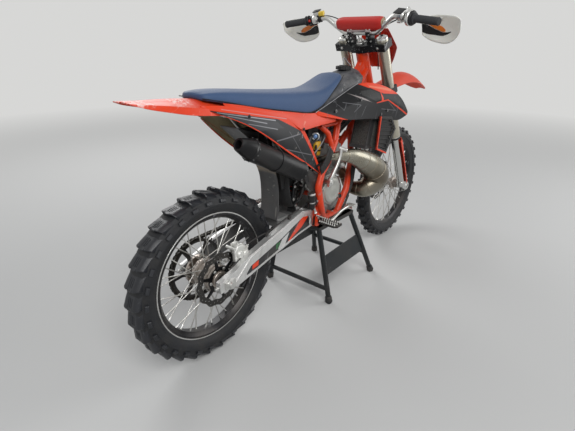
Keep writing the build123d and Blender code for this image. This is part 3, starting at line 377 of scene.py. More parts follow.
fork_alloy = Finish("fork_alloy", (0.5, 0.47, 0.39), 0.32, 0.9).vary(14, 0.25).done()
bar_alloy = Finish("bar_alloy", (0.62, 0.62, 0.6), 0.28, 1.0).vary(20, 0.2).scuffed(0.4, 0.35, 0.4).done()
stand_paint = (
    Finish("stand_paint", (0.005, 0.008, 0.01), 0.36, Specular_IOR_Level=0.4).vary(10, 0.3)
    .scuffed(0.7, 0.1, 0.5).dirt(0.35, 0.4, (0.06, 0.05, 0.04)).done()
)
silencer_black = (
    Finish("silencer_black", (0.004, 0.004, 0.005), 0.3, Specular_IOR_Level=0.3).vary(12, 0.3)
    .scuffed(0.4, 0.1, 0.45).dirt(0.25, 1.4, (0.05, 0.045, 0.04)).done()
)
gripper_blue = (
    Finish("gripper_blue", (0.028, 0.068, 0.16), 0.62, Sheen_Weight=0.25, Sheen_Roughness=0.4)
    .vary(12, 0.3, 0.7).grained(0.0003, 900).done()
)
pad_red = Finish("pad_red", (0.5, 0.018, 0.012), 0.5).vary(14, 0.3).grained(0.0001, 500).done()
spring_yellow = Finish("spring_yellow", (0.75, 0.42, 0.02), 0.4).vary(20, 0.2).dirt(0.5, 1.2).done()
weld_steel = Finish("weld_steel", (0.3, 0.26, 0.2), 0.34, 1.0).vary(60, 0.4).done()
cover_alloy = (
    Finish("cover_alloy", (0.44, 0.44, 0.41), 0.5, 0.75).vary(16, 0.3, 0.75)
    .scuffed(0.9, (0.36, 0.36, 0.34), 0.55, 90).dirt(0.3, 1.0).grained(0.0001, 500).done()
)
swingarm_alloy = Finish("swingarm_alloy", (0.74, 0.74, 0.73), 0.42, 0.8).vary(8, 0.25, 0.8)
swingarm_alloy.scuffed(0.5, (0.42, 0.42, 0.41), 0.5)
# A darker, rougher band from y -20 to 107 mm, over the far arm's inner side and the middle: painted shade.
swingarm_alloy.tint(swingarm_alloy.band("Y", -0.02, 0.107, 0.004), 0.27, 0.55)
swingarm_alloy = swingarm_alloy.dirt(0.45, 0.7).grained(0.0001, 420).done()
caliper_alloy = (
    Finish("caliper_alloy", (0.7, 0.7, 0.67), 0.48, 0.7).vary(20, 0.25).dirt(0.4, 0.8).grained(0.0002, 420)
    .done()
)
shock_dark = (
    Finish("shock_dark", (0.05, 0.05, 0.052), 0.38, 0.8).vary(20, 0.3).scuffed(0.4, 0.4, 0.4, 80)
    .dirt(0.5, 1.2).done()
)
dull_steel = Finish("dull_steel", 0.16, 0.45, 1.0).vary(30, 0.4).done()
blue_anodised = Finish("blue_anodised", (0.12, 0.2, 0.36), 0.3, 0.9).vary(30, 0.3).done()
polished_tube = Finish("polished_tube", (0.62, 0.62, 0.6), 0.16, 1.0).vary(40, 0.2, 0.9).done()
clamp_black = (
    Finish("clamp_black", (0.02, 0.02, 0.022), 0.3, 0.6).scuffed(0.6, 0.5, 0.35, 120).dirt(0.3, 0.8).done()
)
clamp_pink = Finish("clamp_pink", (0.5, 0.42, 0.42), 0.35, 0.9).vary(30, 0.3, 0.8).dirt(0.35, 0.8).done()
pad_foam = Finish("pad_foam", (0.42, 0.33, 0.22), 0.9).vary(60, 0.4, 0.7).grained(0.0006, 300).done()
grip_rubber = Finish("grip_rubber", (0.03, 0.031, 0.034), 0.72).vary(30, 0.3).dirt(0.4, 0.8).done()
switch_yellow = (
    Finish("switch_yellow", (0.72, 0.5, 0.05), 0.4).scuffed(0.5, (0.85, 0.75, 0.4), 0.5, 60).dirt(0.4, 0.8)
    .done()
)
guard_white = (
    Finish("guard_white", (0.8, 0.8, 0.75), 0.45, Subsurface_Weight=0.5, Subsurface_Radius=(1, 1, 0.9),
           Subsurface_Scale=0.006)
    .vary(14, 0.1, 0.9).scuffed(0.3, (0.6, 0.58, 0.52), 0.5, 60).dirt(0.35, 0.6).done()
)
stripe_orange = Finish("stripe_orange", (0.82, 0.22, 0.03), 0.4).vary(14, 0.2).dirt(0.3, 0.7).done()
# A pale grey for the shrouds' upper rear edges: a painted highlight along the edge.
painted_edge_highlight = Finish("painted_edge_highlight", (0.3, 0.3, 0.31), 0.5).vary(30, 0.5, 0.4).done()
grey_hose = Finish("grey_hose", 0.3, 0.5).vary(30, 0.3).done()
flap_plastic = Finish("flap_plastic", (0.085, 0.085, 0.086), 0.5).vary(9, 0.5, 0.55)
# A pale tan patch on the inner fender above the silencer: a painted reflection of the ground on its
# underside.
painted_reflection_patch = flap_plastic.zone([(270, 668), (270, 724), (348, 700), (348, 676)], 8)
flap_plastic.tint(painted_reflection_patch, (0.3, 0.25, 0.19), 0.7)
flap_plastic = (
    flap_plastic.scuffed(0.9, (0.3, 0.29, 0.27), 0.7).dirt(0.35, 1.1, (0.2, 0.175, 0.15), 7)
    .grained(0.0001, 700).done()
)
# The side panels' inner side, an olive tan far paler than their orange plastic: painted light and a painted
# reflection where it stands in shade.
panel_inside_painted_light = (
    Finish("panel_inside_painted_light", (0.42, 0.36, 0.21), 0.6).vary(9, 0.6, 0.5).dirt(0.4, 1.6, (0.12, 0.1, 0.07)).done()
)
# The number plate's orange, a darker red than the other orange plastics: painted shade, as the plate stands
# in shade.
plate_plastic_shaded = (
    Finish("plate_plastic_shaded", (0.5, 0.022, 0.005), 0.42, Specular_IOR_Level=0.3).vary(8, 0.3, 0.7)
    .grained(0.00005, 900).done()
)
fender_plastic = Finish("fender_plastic", ORANGE, 0.4, Specular_IOR_Level=0.3).vary(6, 0.25, 0.8)
for spot in ([(-268, 1005), (-268, 1024), (-196, 1022), (-206, 1010)],
        [(-128, 1003), (-118, 1018), (-52, 1012), (-76, 999)]):
    patch = fender_plastic.zone(spot, 9)
    streaks = fender_plastic.pen.noise(fender_plastic.place, 90, 3, 0.6)
    worn = fender_plastic.pen.maths("MULTIPLY", patch, fender_plastic.pen.step(streaks, 0.48, 0.6))
    fender_plastic.tint(worn, (0.85, 0.68, 0.64), 0.6)
fender_plastic = (
    fender_plastic.scuffed(0.55, (0.85, 0.6, 0.5), 0.6, 75).dirt(0.15, 1.4).grained(0.00004, 900).done()
)
core_alloy = (
    Finish("core_alloy", (0.17, 0.17, 0.16), 0.5, 0.5).vary(160, 0.7, 0.1)
    .dirt(0.4, 1.4, (0.16, 0.14, 0.11), 60).done()
)

# The solids that show as they are
SOLID_FINISH = {"rear_spokes": spoke_steel, "front_spokes": spoke_steel, "handlebar": bar_alloy}
for node_name, finish in SOLID_FINISH.items():
    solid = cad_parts[node_name]
    solid.data.materials.clear()
    solid.data.materials.append(finish)


class Shape:
    """A form in the making, in the drawing's millimetres, shaped with mesh operators."""

    def __init__(self):
        self.mesh = bmesh.new()

    def row(self, points, closed=True):
        """A line of edges through points, closed to a ring or left open."""
        spots = [self.mesh.verts.new(point) for point in points]
        followers = spots[1:] + spots[:1] if closed else spots[1:]
        return [self.mesh.edges.new(pair) for pair in zip(spots, followers)]

    def through(self, rows, closed=True, capped=False, ring=False):
        """A skin bridged from each row of points to the next."""
        lines = [self.row(points, closed) for points in rows]
        pairs = list(zip(lines, lines[1:]))
        if ring:
            pairs.append((lines[-1], lines[0]))
        for before, after in pairs:
            bmesh.ops.bridge_loops(self.mesh, edges=before + after)
        if capped:
            for line in (lines[0], lines[-1]):
                bmesh.ops.contextual_create(self.mesh, geom=line)
        return self

    def sheet(self, rows):
        """An open skin bridged from each row of points to the next."""
        return self.through(rows, closed=False)

    def spun(self, profile, steps=64):
        """A turned form about the Y axis, its profile given as (y, radius)."""
        line = self.row([(radius, y, 0) for y, radius in profile])
        spots = list({spot for edge in line for spot in edge.verts})
        bmesh.ops.spin(
            self.mesh, geom=spots + line, cent=(0, 0, 0), axis=(0, 1, 0), dvec=(0, 0, 0),
            angle=2 * pi, steps=steps, use_merge=True,
        )
        return self

    def turned(self, profile, steps=32):
        """A solid turned form: the profile's first and last points close on the axis."""
        first, last = profile[0], profile[-1]
        return self.spun([(first[0], 0.01), *profile, (last[0], 0.01)], steps)

    def slab(self, outline, y0, y1):
        """A flat plate across the bike, its outline given as (x, z)."""
        return self.through([[(x, y, z) for x, z in outline] for y in (y0, y1)], capped=True)

    def ringed_slab(self, outer, inner, y0, y1):
        """A flat plate across the bike with one opening."""
        rows = [(outer, y0), (outer, y1), (inner, y1), (inner, y0)]
        return self.through([[(x, y, z) for x, z in outline] for outline, y in rows], ring=True)

    def nut(self, radius, height, flange=0.0):
        """A hexagon head standing on the plane Y = 0, with a round washer under it."""
        if flange:
            self.turned([(0, radius + flange), (height * 0.22, radius + flange), (height * 0.3, radius)], 16)
        bmesh.ops.create_cone(
            self.mesh, segments=6, radius1=radius, radius2=radius * 0.92, depth=height, cap_ends=True,
            matrix=Matrix.Translation((0, height / 2, 0)) @ Matrix.Rotation(-pi / 2, 4, "X"),
        )
        return self

    def put(self, other, *places):
        """Adds another shape where it is, or once at each place."""
        held = bpy.data.meshes.new("held")
        other.mesh.to_mesh(held)
        for place in places or (Matrix(),):
            copy = held.copy()
            copy.transform(place)
            self.mesh.from_mesh(copy)
            bpy.data.meshes.remove(copy)
        bpy.data.meshes.remove(held)
        return self

    def lathed(self, spot, way, profile, steps=32, paint=0):
        """Adds a turned solid, its axis along a direction from a spot."""
        return self.put(Shape().turned(profile, steps).painted(paint), facing(spot, way))

    def ringed(self, spot, way, profile, steps=64, paint=0):
        """Adds a turned ring, open in the middle, about a direction at a spot."""
        return self.put(Shape().spun(profile, steps).painted(paint), facing(spot, way))

    def bolted(self, spots, way, radius, height, flange=0.0, paint=0):
        """Adds a hexagon bolt's head at each spot."""
        head = Shape().nut(radius, height, flange).painted(paint)
        return self.put(head, *[facing(spot, way) for spot in spots])

    def mirrored(self):
        """The same again on the bike's other side."""
        twin = Shape()
        twin.put(self, Matrix.Scale(-1, 4, (0, 1, 0)))
        bmesh.ops.reverse_faces(twin.mesh, faces=twin.mesh.faces)
        return self.put(twin)

    def softened(self, width, segments=2, angle=30):
        """Rounds every edge that is sharper than the angle."""
        bmesh.ops.remove_doubles(self.mesh, verts=self.mesh.verts, dist=0.01)
        limit = radians(angle)
        edges = [e for e in self.mesh.edges if len(e.link_faces) == 2 and e.calc_face_angle(0) > limit]
        bmesh.ops.bevel(
            self.mesh, geom=edges, offset=width, offset_type="OFFSET", segments=segments,
            affect="EDGES", profile=0.5, material=-1, clamp_overlap=True,
        )
        return self

    def painted(self, index):
        """Gives every face so far one of the piece's finishes."""
        for face in self.mesh.faces:
            face.material_index = index
        return self

    def drilled(self, cutter):
        """Takes another shape out of this one."""
        pair = []
        for shape in (self, cutter):
            bmesh.ops.recalc_face_normals(shape.mesh, faces=shape.mesh.faces)
            mesh = bpy.data.meshes.new("blank")
            shape.mesh.to_mesh(mesh)
            pair.append(bpy.data.objects.new("blank", mesh))
            bpy.context.scene.collection.objects.link(pair[-1])
        cut = pair[0].modifiers.new("cut", "BOOLEAN")
        cut.operation = "DIFFERENCE"
        cut.solver = "EXACT"
        cut.object = pair[1]
        result = bpy.data.meshes.new_from_object(pair[0].evaluated_get(bpy.context.evaluated_depsgraph_get()))
        self.mesh.clear()
        self.mesh.from_mesh(result)
        bpy.data.meshes.remove(result)
        for blank in pair:
            mesh = blank.data
            bpy.data.objects.remove(blank)
            bpy.data.meshes.remove(mesh)
        return self


def turn(degrees):
    return Matrix.Rotation(radians(degrees), 4, "Y")


def move(x, y, z):
    return Matrix.Translation((x, y, z))


def facing(spot, direction):
    """Stands a shape's Y axis along a direction, at a spot."""
    return Matrix.Translation(spot) @ Vector(direction).to_track_quat("Y", "Z").to_matrix().to_4x4()


def circle(radius, count, x=0.0, z=0.0, start=0.0):
    """Points round a circle on the bike's side, the first at an angle in degrees."""
    angles = [2 * pi * i / count + radians(start) for i in range(count)]
    return [(x + radius * cos(angle), z + radius * sin(angle)) for angle in angles]


def blank_curve(name, thick, around, steps, finish):
    """A curve object with a round section and no runs yet."""
    curve = bpy.data.curves.new(name, "CURVE")
    curve.dimensions = "3D"
    curve.bevel_depth = thick / 1000
    curve.bevel_resolution = around
    curve.resolution_u = steps
    curve.use_fill_caps = True
    curve.materials.append(finish)
    made = bpy.data.objects.new(name, curve)
    bpy.context.scene.collection.objects.link(made)
    return made


class Mount:
    """A body of the bike, and the drawing in which the pieces that ride on it are laid out."""

    def __init__(self, body, drawing):
        self.body = body
        self.drawing = drawing

    def fit(self, made, replaces):
        """Lets an object ride on the body, and stand for a solid where one is named."""
        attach(made, self.body)
        if replaces:
            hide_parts(replaces)
        return made

    def piece(self, name, shape, finishes, replaces="", rounds=0, wall=0.0, edge=0.0, sharp=35,
            lining=0):
        """Makes a shape an object of the bike, with its finishes.

        rounds is the number of subdivisions, wall and edge the wall's thickness and the rounding of
        its edges in millimetres, sharp the angle above which an edge stays crisp, and lining how
        many finishes further down the list the wall's inner side takes its own.
        """
        bm = shape.mesh
        bmesh.ops.remove_doubles(bm, verts=bm.verts, dist=0.005)
        bmesh.ops.recalc_face_normals(bm, faces=bm.faces)
        bmesh.ops.transform(bm, matrix=self.drawing, verts=bm.verts)
        for face in bm.faces:
            face.smooth = True
        mesh = bpy.data.meshes.new(name)
        bm.to_mesh(mesh)
        bm.free()
        if not rounds:
            mesh.set_sharp_from_angle(angle=radians(sharp))
        for finish in finishes if isinstance(finishes, list) else [finishes]:
            mesh.materials.append(finish)
        made = bpy.data.objects.new(name, mesh)
        bpy.context.scene.collection.objects.link(made)
        if rounds:
            smooth = made.modifiers.new("rounds", "SUBSURF")
            smooth.levels = smooth.render_levels = rounds
        if wall:
            shell = made.modifiers.new("wall", "SOLIDIFY")
            shell.thickness = wall / 1000
            shell.offset = -1
            shell.material_offset = lining
        if edge:
            soft = made.modifiers.new("edge", "BEVEL")
            soft.width = edge / 1000
            soft.segments = 2
            soft.limit_method = "ANGLE"
            soft.angle_limit = radians(sharp)
            soft.harden_normals = True
        return self.fit(made, replaces)

    def rounded_solid(self, node, finish, edge=1.5, angle=32):
        """A CAD solid's copy with its hard edges rounded, as a casting or a moulding has them."""
        shape = Shape()
        bm = shape.mesh
        bm.from_mesh(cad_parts[node].data)
        bmesh.ops.remove_doubles(bm, verts=bm.verts, dist=1e-6)
        bmesh.ops.dissolve_limit(
            bm, angle_limit=radians(1.5), verts=bm.verts, edges=bm.edges, use_dissolve_boundaries=False
        )
        bmesh.ops.transform(bm, matrix=BIKE.inverted(), verts=bm.verts)
        return self.piece(node + "_finished", shape, finish, node, edge=edge, sharp=angle)

    def cable(self, name, routes, radius, finish, replaces="", around=3, steps=8):
        """Smooth hoses or cables along routes of points, each with one radius."""
        made = blank_curve(name, radius, around, steps, finish)
        for route in routes:
            line = made.data.splines.new("NURBS")
            line.points.add(len(route) - 1)
            for spot, point in zip(line.points, route):
                spot.co = (*(self.drawing @ Vector(point)), 1)
            line.order_u = 3
            line.use_endpoint_u = True
        return self.fit(made, replaces)

    def pipe(self, name, runs, finish, replaces="", around=8):
        """Round bars whose radius changes along them: each run is a list of (point, radius)."""
        made = blank_curve(name, 1, around, 10, finish)
        for run in runs:
            line = made.data.splines.new("BEZIER")
            line.bezier_points.add(len(run) - 1)
            for spot, (point, radius) in zip(line.bezier_points, run):
                spot.co = self.drawing @ Vector(point)
                spot.radius = radius
                spot.handle_left_type = spot.handle_right_type = "AUTO"
        return self.fit(made, replaces)


chassis = Mount("chassis", BIKE)
front_end = Mount("steering", BIKE)
fork = Mount("steering", FORK)
rear_wheel = Mount("rear_wheel", REAR)
front_wheel = Mount("front_wheel", FRONT)


# Wheels: local drawings about each axle, y along it

def knob(length, width, height, taper=0.8, middle=0.0):
    """One tread block, its root on the plane Z = 0 and its top outwards along Z."""
    block = Shape()
    bmesh.ops.create_cone(
        block.mesh, segments=4, radius1=sqrt(0.5), radius2=sqrt(0.5) * taper, depth=1, cap_ends=True,
        matrix=Matrix.Rotation(pi / 4, 4, "Z"),
    )
    size = Matrix.Diagonal((length, width, height + 6, 1))
    bmesh.ops.transform(block.mesh, matrix=move(middle, 0, height / 2 - 3) @ size, verts=block.mesh.verts)
    top = [edge for edge in block.mesh.edges if all(spot.co.z > height / 2 for spot in edge.verts)]
    bmesh.ops.bevel(
        block.mesh, geom=top, offset=1.2, offset_type="OFFSET", segments=1, affect="EDGES", profile=0.5,
        material=-1
    )
    return block


def scale(height, radius):
    """The rear tyre's broad block: a ramp rising to a bowed and notched back edge, with low ribs on it."""
    block = Shape()
    across = [-1, -0.82, -0.62, -0.43, -0.35, -0.27, -0.09, 0.09, 0.27, 0.35, 0.43, 0.62, 0.82, 1]
    rows = []
    for x, rise in ((38, -2.5), (24, 2.6), (6, 6.6), (-12, 10.2), (-22, height + 0.1), (-25, height - 1.2),
            (-21, -4)):
        row = []
        for share in across:
            bow = 9 if x < 0 else 5
            notch = 5.5 if abs(share) == 0.35 and x < -20 else 0
            ahead = x + bow * abs(share) ** 1.8 + notch
            fall = 15 * max(0, (abs(share) - 0.5) / 0.5) ** 2.2
            lift = rise * (1 + 0.28 * share * share) if rise > 0 else rise
            row.append((ahead, 40 * share, lift - fall - ahead * ahead / (2 * radius)))
        row += [(x + bow, 38, -22), (x, 12, -14), (x, -12, -14), (x + bow, -38, -22)]
        rows.append(row)
    block.through(rows, capped=True)
    for y in (-9, 0, 9):
        block.through([[(x, y - w, z - 3), (x, y - w, z), (x, y + w, z), (x, y + w, z - 3)]
                       for x, w, z in ((22, 0.7, 3.4), (8, 1.1, 7.4), (-10, 1.1, 11))], capped=True)
    return block


def tyre_shape(tread_r, rim_r, half, crown, block_h, pitches, rows):
    """A motocross tyre: a rounded casing with rows of tread blocks, placed as the solids have them."""
    base = tread_r - block_h
    middle = rim_r + 0.5 * (tread_r - rim_r)
    flank = Vector((crown - half + 6, base - middle))
    outwards = Vector((flank.y, -flank.x)).normalized()
    side = [(24, rim_r + 1), (27, rim_r + 8), (27.5 + (half - 34) * 0.55, rim_r + 24),
        (half - 8, middle - 14), (half - 5.8, middle)]
    side += [tuple(Vector((half - 6, middle)) + flank * t + outwards * out) for t,
        out in ((0.3, 1.5), (0.62, 2), (0.88, 1.4))]
    side += [(crown * 0.8, base + 0.2), (crown * 0.4, base + 0.8), (0, base + 1)]
    casing = Shape().spun(side + [(-y, r) for y, r in reversed(side[:-1])], 120)
    for y, r in ((half - 8.4, middle - 8), (half - 12, middle - 17)):
        rib = [(y, r - 1.5), (y + 1.4, r), (y, r + 1.5)]
        casing.spun(rib, 96)
        casing.spun([(-a, b) for a, b in rib], 96)
    for across, tilt, drop, block in rows:
        for sign in (1, -1) if across else (1,):
            root = move(0, sign * across, base - drop) @ Matrix.Rotation(radians(-sign * tilt), 4, "X")
            casing.put(block.painted(1), *[turn(360 / pitches * i) @ root for i in range(pitches)])
    return casing


def rim_shape(rim_r, half):
    """A box-section rim with a dropped middle; its rolled lips are the second finish."""
    side = [
        (half - 2.6, rim_r + 13.6), (half - 3.4, rim_r + 3), (half * 0.62, rim_r - 2),
        (half * 0.45, rim_r - 8),
    ]
    under = [
        (-half * 0.52, rim_r - 12.6), (-half * 0.86, rim_r - 4), (-half + 0.4, rim_r + 1),
        (-half + 0.4, rim_r + 9),
    ]
    ring = side + [(-y, r) for y, r in reversed(side)]
    ring += [(y, r) for y, r in reversed(under)] + [(-y, r) for y, r in under]
    shape = Shape().spun(ring, 128)
    lip = Shape()
    for sign in (1, -1):
        lip.spun(
            [(sign * (half - 3), rim_r + 9), (sign * half, rim_r + 9), (sign * (half + 0.2), rim_r + 13),
             (sign * (half - 1.4), rim_r + 14.6), (sign * (half - 3), rim_r + 13)], 128,
        )
    return shape.put(lip.painted(1))


def spoke_lines(rim_r, flange_r, flange_out):
    """Each spoke's two ends about the axle, as the solids have them."""
    for i in range(SPOKES):
        side = 1 if i % 2 else -1
        lean = 1 if (i // 2) % 2 else -1
        at_rim = 2 * pi * i / SPOKES
        at_hub = at_rim + radians(lean * 42)
        out = side * (flange_out + (4 if lean > 0 else -4))
        rim_in = rim_r - 12.9
        yield (
            Vector((flange_r * cos(at_hub), out, flange_r * sin(at_hub))),
            Vector((rim_in * cos(at_rim), side * 5, rim_in * sin(at_rim))),
        )


def nipples_shape(rim_r, flange_r, flange_out):
    """Spoke nipples at the rim and the bent spoke heads at the hub."""
    shape = Shape()
    nipple = Shape().turned([(0, 2.9), (13, 3.1), (15, 3.9), (20, 3.9)], 10)
    head = Shape().turned([(-3, 3.4), (2, 3.4), (3, 2.4)], 10)
    for low, high in spoke_lines(rim_r, flange_r, flange_out):
        way = (high - low).normalized()
        shape.put(nipple, facing(high - way * 16, way))
        shape.put(head, facing(low, (0, 1 if low.y > 0 else -1, 0)))
    return shape


def bolt_ring(count, ring_r, y, way, radius, height):
    """Hexagon bolts in a ring about the axle, heads along +Y or -Y."""
    return Shape().bolted([(x, y, z) for x, z in circle(ring_r, count)], (0, way, 0), radius, height, 1.6)


def wavy_disc(radius, y, waves, carrier_r, thickness=4.0):
    """A thin wave-edged brake disc with drilled holes, on a slim carrier with six arms."""
    count = waves * 12
    edge = []
    inner = []
    for i in range(count):
        angle = 2 * pi * i / count
        out = radius - 3.2 + 3.2 * cos(waves * angle)
        back = radius - 27 + 2.4 * cos(waves * angle)
        edge.append((out * cos(angle), out * sin(angle)))
        inner.append((back * cos(angle), back * sin(angle)))
    ring = Shape().ringed_slab(edge, inner, y - thickness / 2, y + thickness / 2)
    drill = Shape()
    hole = Shape().turned([(-6, 3.6), (6, 3.6)], 10)
    for i in range(waves * 3):
        angle = 2 * pi * i / (waves * 3)
        at_r = radius - 9.5 if i % 3 == 0 else radius - 15 if i % 3 == 1 else radius - 20
        drill.put(hole, move(at_r * cos(angle), y, at_r * sin(angle)))
    ring.drilled(drill)
    carrier = Shape().ringed_slab(circle(carrier_r + 7, 48), circle(carrier_r - 8, 48), y - 1.8, y + 1.8)
    arm = Shape().slab([(carrier_r + 4, -8), (radius - 24, -5), (radius - 24, 5), (carrier_r + 4, 8)],
        y - 1.7, y + 1.7)
    for i in range(6):
        carrier.put(arm, turn(60 * i + 20))
    return ring.put(carrier.painted(1))


def sprocket_shape(teeth, pitch_r, inner_r, y, thickness=5.6):
    """A toothed sprocket with windows between its arms."""
    outer = []
    for i in range(teeth):
        for share, rise in ((-0.36, -4.6), (-0.2, -4.0), (-0.07, 5.0), (0.07, 5.0), (0.2, -4.0),
                (0.36, -4.6)):
            angle = 2 * pi * (i + share) / teeth
            outer.append(((pitch_r + rise) * cos(angle), (pitch_r + rise) * sin(angle)))
    shape = Shape().ringed_slab(outer, circle(pitch_r - 16, teeth * 2), y - thickness / 2, y + thickness / 2)
    shape.ringed_slab(circle(inner_r + 13, 48), circle(inner_r, 48), y - thickness / 2 + 0.1,
        y + thickness / 2 - 0.1)
    arm = Shape().slab(
        [(inner_r + 9, -13), (inner_r + 26, -8), (pitch_r - 14, -11), (pitch_r - 14, 11), (inner_r + 26, 8),
            (inner_r + 9, 13)],
        y - thickness / 2 + 0.2, y + thickness / 2 - 0.2,
    )
    for i in range(6):
        shape.put(arm, turn(60 * i))
    return shape


def chain_path():
    """Places along the chain's closed run, one link apart, each with its direction."""
    big = CHAIN_PITCH / (2 * sin(pi / REAR_TEETH))
    small = CHAIN_PITCH / (2 * sin(pi / FRONT_TEETH))
    dx, dz = COUNTERSHAFT[0], COUNTERSHAFT[1] - REAR_AXLE[1]
    span = hypot(dx, dz)
    line = atan2(dz, dx)
    lean = asin((big - small) / span)
    upper = line + pi / 2 - lean
    lower = line - pi / 2 + lean
    straight = span * cos(lean)
    runs = [
        ("line", upper, straight, (big * cos(upper), REAR_AXLE[1] + big * sin(upper))),
        ("arc", upper, small * (pi - 2 * lean), (COUNTERSHAFT, small)),
        ("line", lower, straight, (COUNTERSHAFT[0] + small * cos(lower),
            COUNTERSHAFT[1] + small * sin(lower))),
        ("arc", lower, big * (pi + 2 * lean), ((0, REAR_AXLE[1]), big)),
    ]
    total = sum(run[2] for run in runs)
    links = round(total / CHAIN_PITCH / 2) * 2
    for i in range(links):
        gone = total * i / links
        for kind, angle, length, data in runs:
            if gone <= length:
                break
            gone -= length
        if kind == "line":
            way = angle - pi / 2
            x, z = data[0] + gone * cos(way), data[1] + gone * sin(way)
        else:
            (cx, cz), radius = data
            bearing = angle - gone / radius
            x, z = cx + radius * cos(bearing), cz + radius * sin(bearing)
            way = bearing - pi / 2
        yield i, x, z, way


def chain_shape():
    """Roller chain: inner and outer links in turn, each two waisted plates and a roller."""
    half = CHAIN_PITCH / 2
    plate = []
    for end in (1, -1):
        for angle in (-75, -25, 25, 75):
            bearing = radians(angle if end > 0 else angle + 180)
            plate.append((end * half + 6.2 * cos(bearing), 6.2 * sin(bearing)))
    plate = plate[:4] + [(0, 4.6)] + plate[4:] + [(0, -4.6)]
    links = []
    for out in (4.6, 6.6):
        link = Shape()
        for sign in (1, -1):
            link.slab(plate, sign * out - 0.8, sign * out + 0.8)
        roller = Shape().turned([(-4.2, 5.0), (4.2, 5.0)], 8)
        pin = Shape().turned([(-7.6, 2.4), (7.6, 2.4)], 8)
        link.put(roller, move(half, 0, 0)).put(pin, move(half, 0, 0), move(-half, 0, 0))
        links.append(link)
    shape = Shape()
    for i, x, z, way in chain_path():
        shape.put(links[i % 2], move(x, CHAIN_OUT, z) @ Matrix.Rotation(-way, 4, "Y"))
    return shape


def hub_shape(half):
    """A turned hub, its profile given from the middle outwards as (y, radius)."""
    end = half[0][0]
    return Shape().spun([*half, *[(-y, r) for y, r in reversed(half)], (-end, 12), (end, 12)], 64)


def dress_rear_wheel():
    # Rows of the tread: across, outward tilt, drop below the crown, block
    rows = ((0, 0, 0, scale(13, 330)), (44, 62, 27, knob(28, 15, 8, 0.84, -12)))
    rear_wheel.piece("rear_tyre_tread", tyre_shape(REAR_TYRE_R, REAR_RIM_R, 55, 30, 14, 30, rows),
        [tyre_rubber, block_rubber], "rear_tyre", sharp=30)
    rear_wheel.piece("rear_rim_dropped", rim_shape(REAR_RIM_R, 31), [rim_black, bright_alloy],
        "rear_rim")
    rear_wheel.piece("rear_nipples", nipples_shape(REAR_RIM_R, 47, 34), bright_alloy)
    half = [(74.5, 20), (74.5, 27), (70, 28), (66, 28), (64, 30), (48, 31), (43, 47), (40.5, 51), (29, 51),
        (26, 47), (22, 29), (10, 26)]
    hub = hub_shape(half)
    carrier = Shape().turned([(56, 30), (56, 61), (64.5, 61.5), (64.5, 30)], 48)
    for i in range(6):
        carrier.put(Shape().turned([(48, 7), (64.5, 7.5)], 14), turn(60 * i + 30) @ move(54, 0, 0))
    hub.put(carrier)
    hub.put(Shape().turned([(-59.6, 28), (-59.6, 54), (-52, 54), (-46, 36)], 48))
    hub.put(Shape().turned([(-29, 35), (-25, 40), (25, 40), (29, 35)], 56))
    hub.put(bolt_ring(6, 54, 70.8, 1, 5.5, 7).painted(1))
    hub.put(bolt_ring(6, 44, -64, -1, 5, 5).painted(1))
    rear_wheel.piece("rear_hub_turned", hub, [hub_alloy, bright_alloy], "rear_hub", sharp=30)
    sprocket = sprocket_shape(REAR_TEETH, CHAIN_PITCH / (2 * sin(pi / REAR_TEETH)), 47, CHAIN_OUT)
    rear_wheel.piece("rear_sprocket_toothed", sprocket, black_steel, "rear_sprocket",
        edge=0.5)
    disc = wavy_disc(110, -62, 12, 44)
    rear_wheel.piece("rear_disc_drilled", disc, [disc_steel, anodised_black], "rear_disc")


def dress_front_wheel():
    rows = ((11.5, 3, 0, knob(18, 17, 11, 0.84, -16)), (29, 54, 15, knob(20, 15, 10, 0.84, 14)))
    front_wheel.piece("front_tyre_tread", tyre_shape(FRONT_TYRE_R, FRONT_RIM_R, 44, 20, 12, 32, rows),
        [tyre_rubber, block_rubber], "front_tyre", sharp=30)
    front_wheel.piece("front_rim_dropped", rim_shape(FRONT_RIM_R, 25), [rim_black, bright_alloy],
        "front_rim")
    front_wheel.piece("front_nipples", nipples_shape(FRONT_RIM_R, 35, 34), bright_alloy)
    half = [(73.5, 18), (73.5, 24), (68, 24.5), (56, 25), (44, 27), (41.5, 36), (39, 39), (29, 39),
        (26.5, 36), (22, 24), (8, 21)]
    hub = hub_shape(half)
    hub.put(Shape().turned([(54, 24), (54, 50), (63.6, 50.5), (63.6, 24)], 40))
    hub.put(bolt_ring(6, 42, 68, 1, 5, 5).painted(1))
    front_wheel.piece("front_hub_turned", hub, [hub_alloy, bright_alloy], "front_hub", sharp=30)
    disc = wavy_disc(130, 66, 14, 42)
    front_wheel.piece("front_disc_drilled", disc, [disc_steel, anodised_black], "front_disc")


def dress_chain():
    chassis.piece("drive_chain_links", chain_shape(), chain_steel, "drive_chain")


dress_rear_wheel()
dress_front_wheel()
dress_chain()


# Bodywork

def bowed(x, top, bottom, bulge, shares=(0, 0.04, 0.25, 0.5, 0.75, 0.96, 1)):
    """Points from a panel's upper edge to its lower one, bowed outwards between them."""
    (y0, z0), (y1, z1) = top, bottom
    side = -1 if y0 + y1 < 0 else 1
    return [(x, y0 + (y1 - y0) * t + side * bulge * sin(pi * t), z0 + (z1 - z0) * t) for t in shares]


def arch(x, *half):
    """A row over the middle of the bike: points of its right half mirrored to the left."""
    return [(x, y, z) for y, z in half] + [(x, -y, z) for y, z in reversed(half[:-1])]


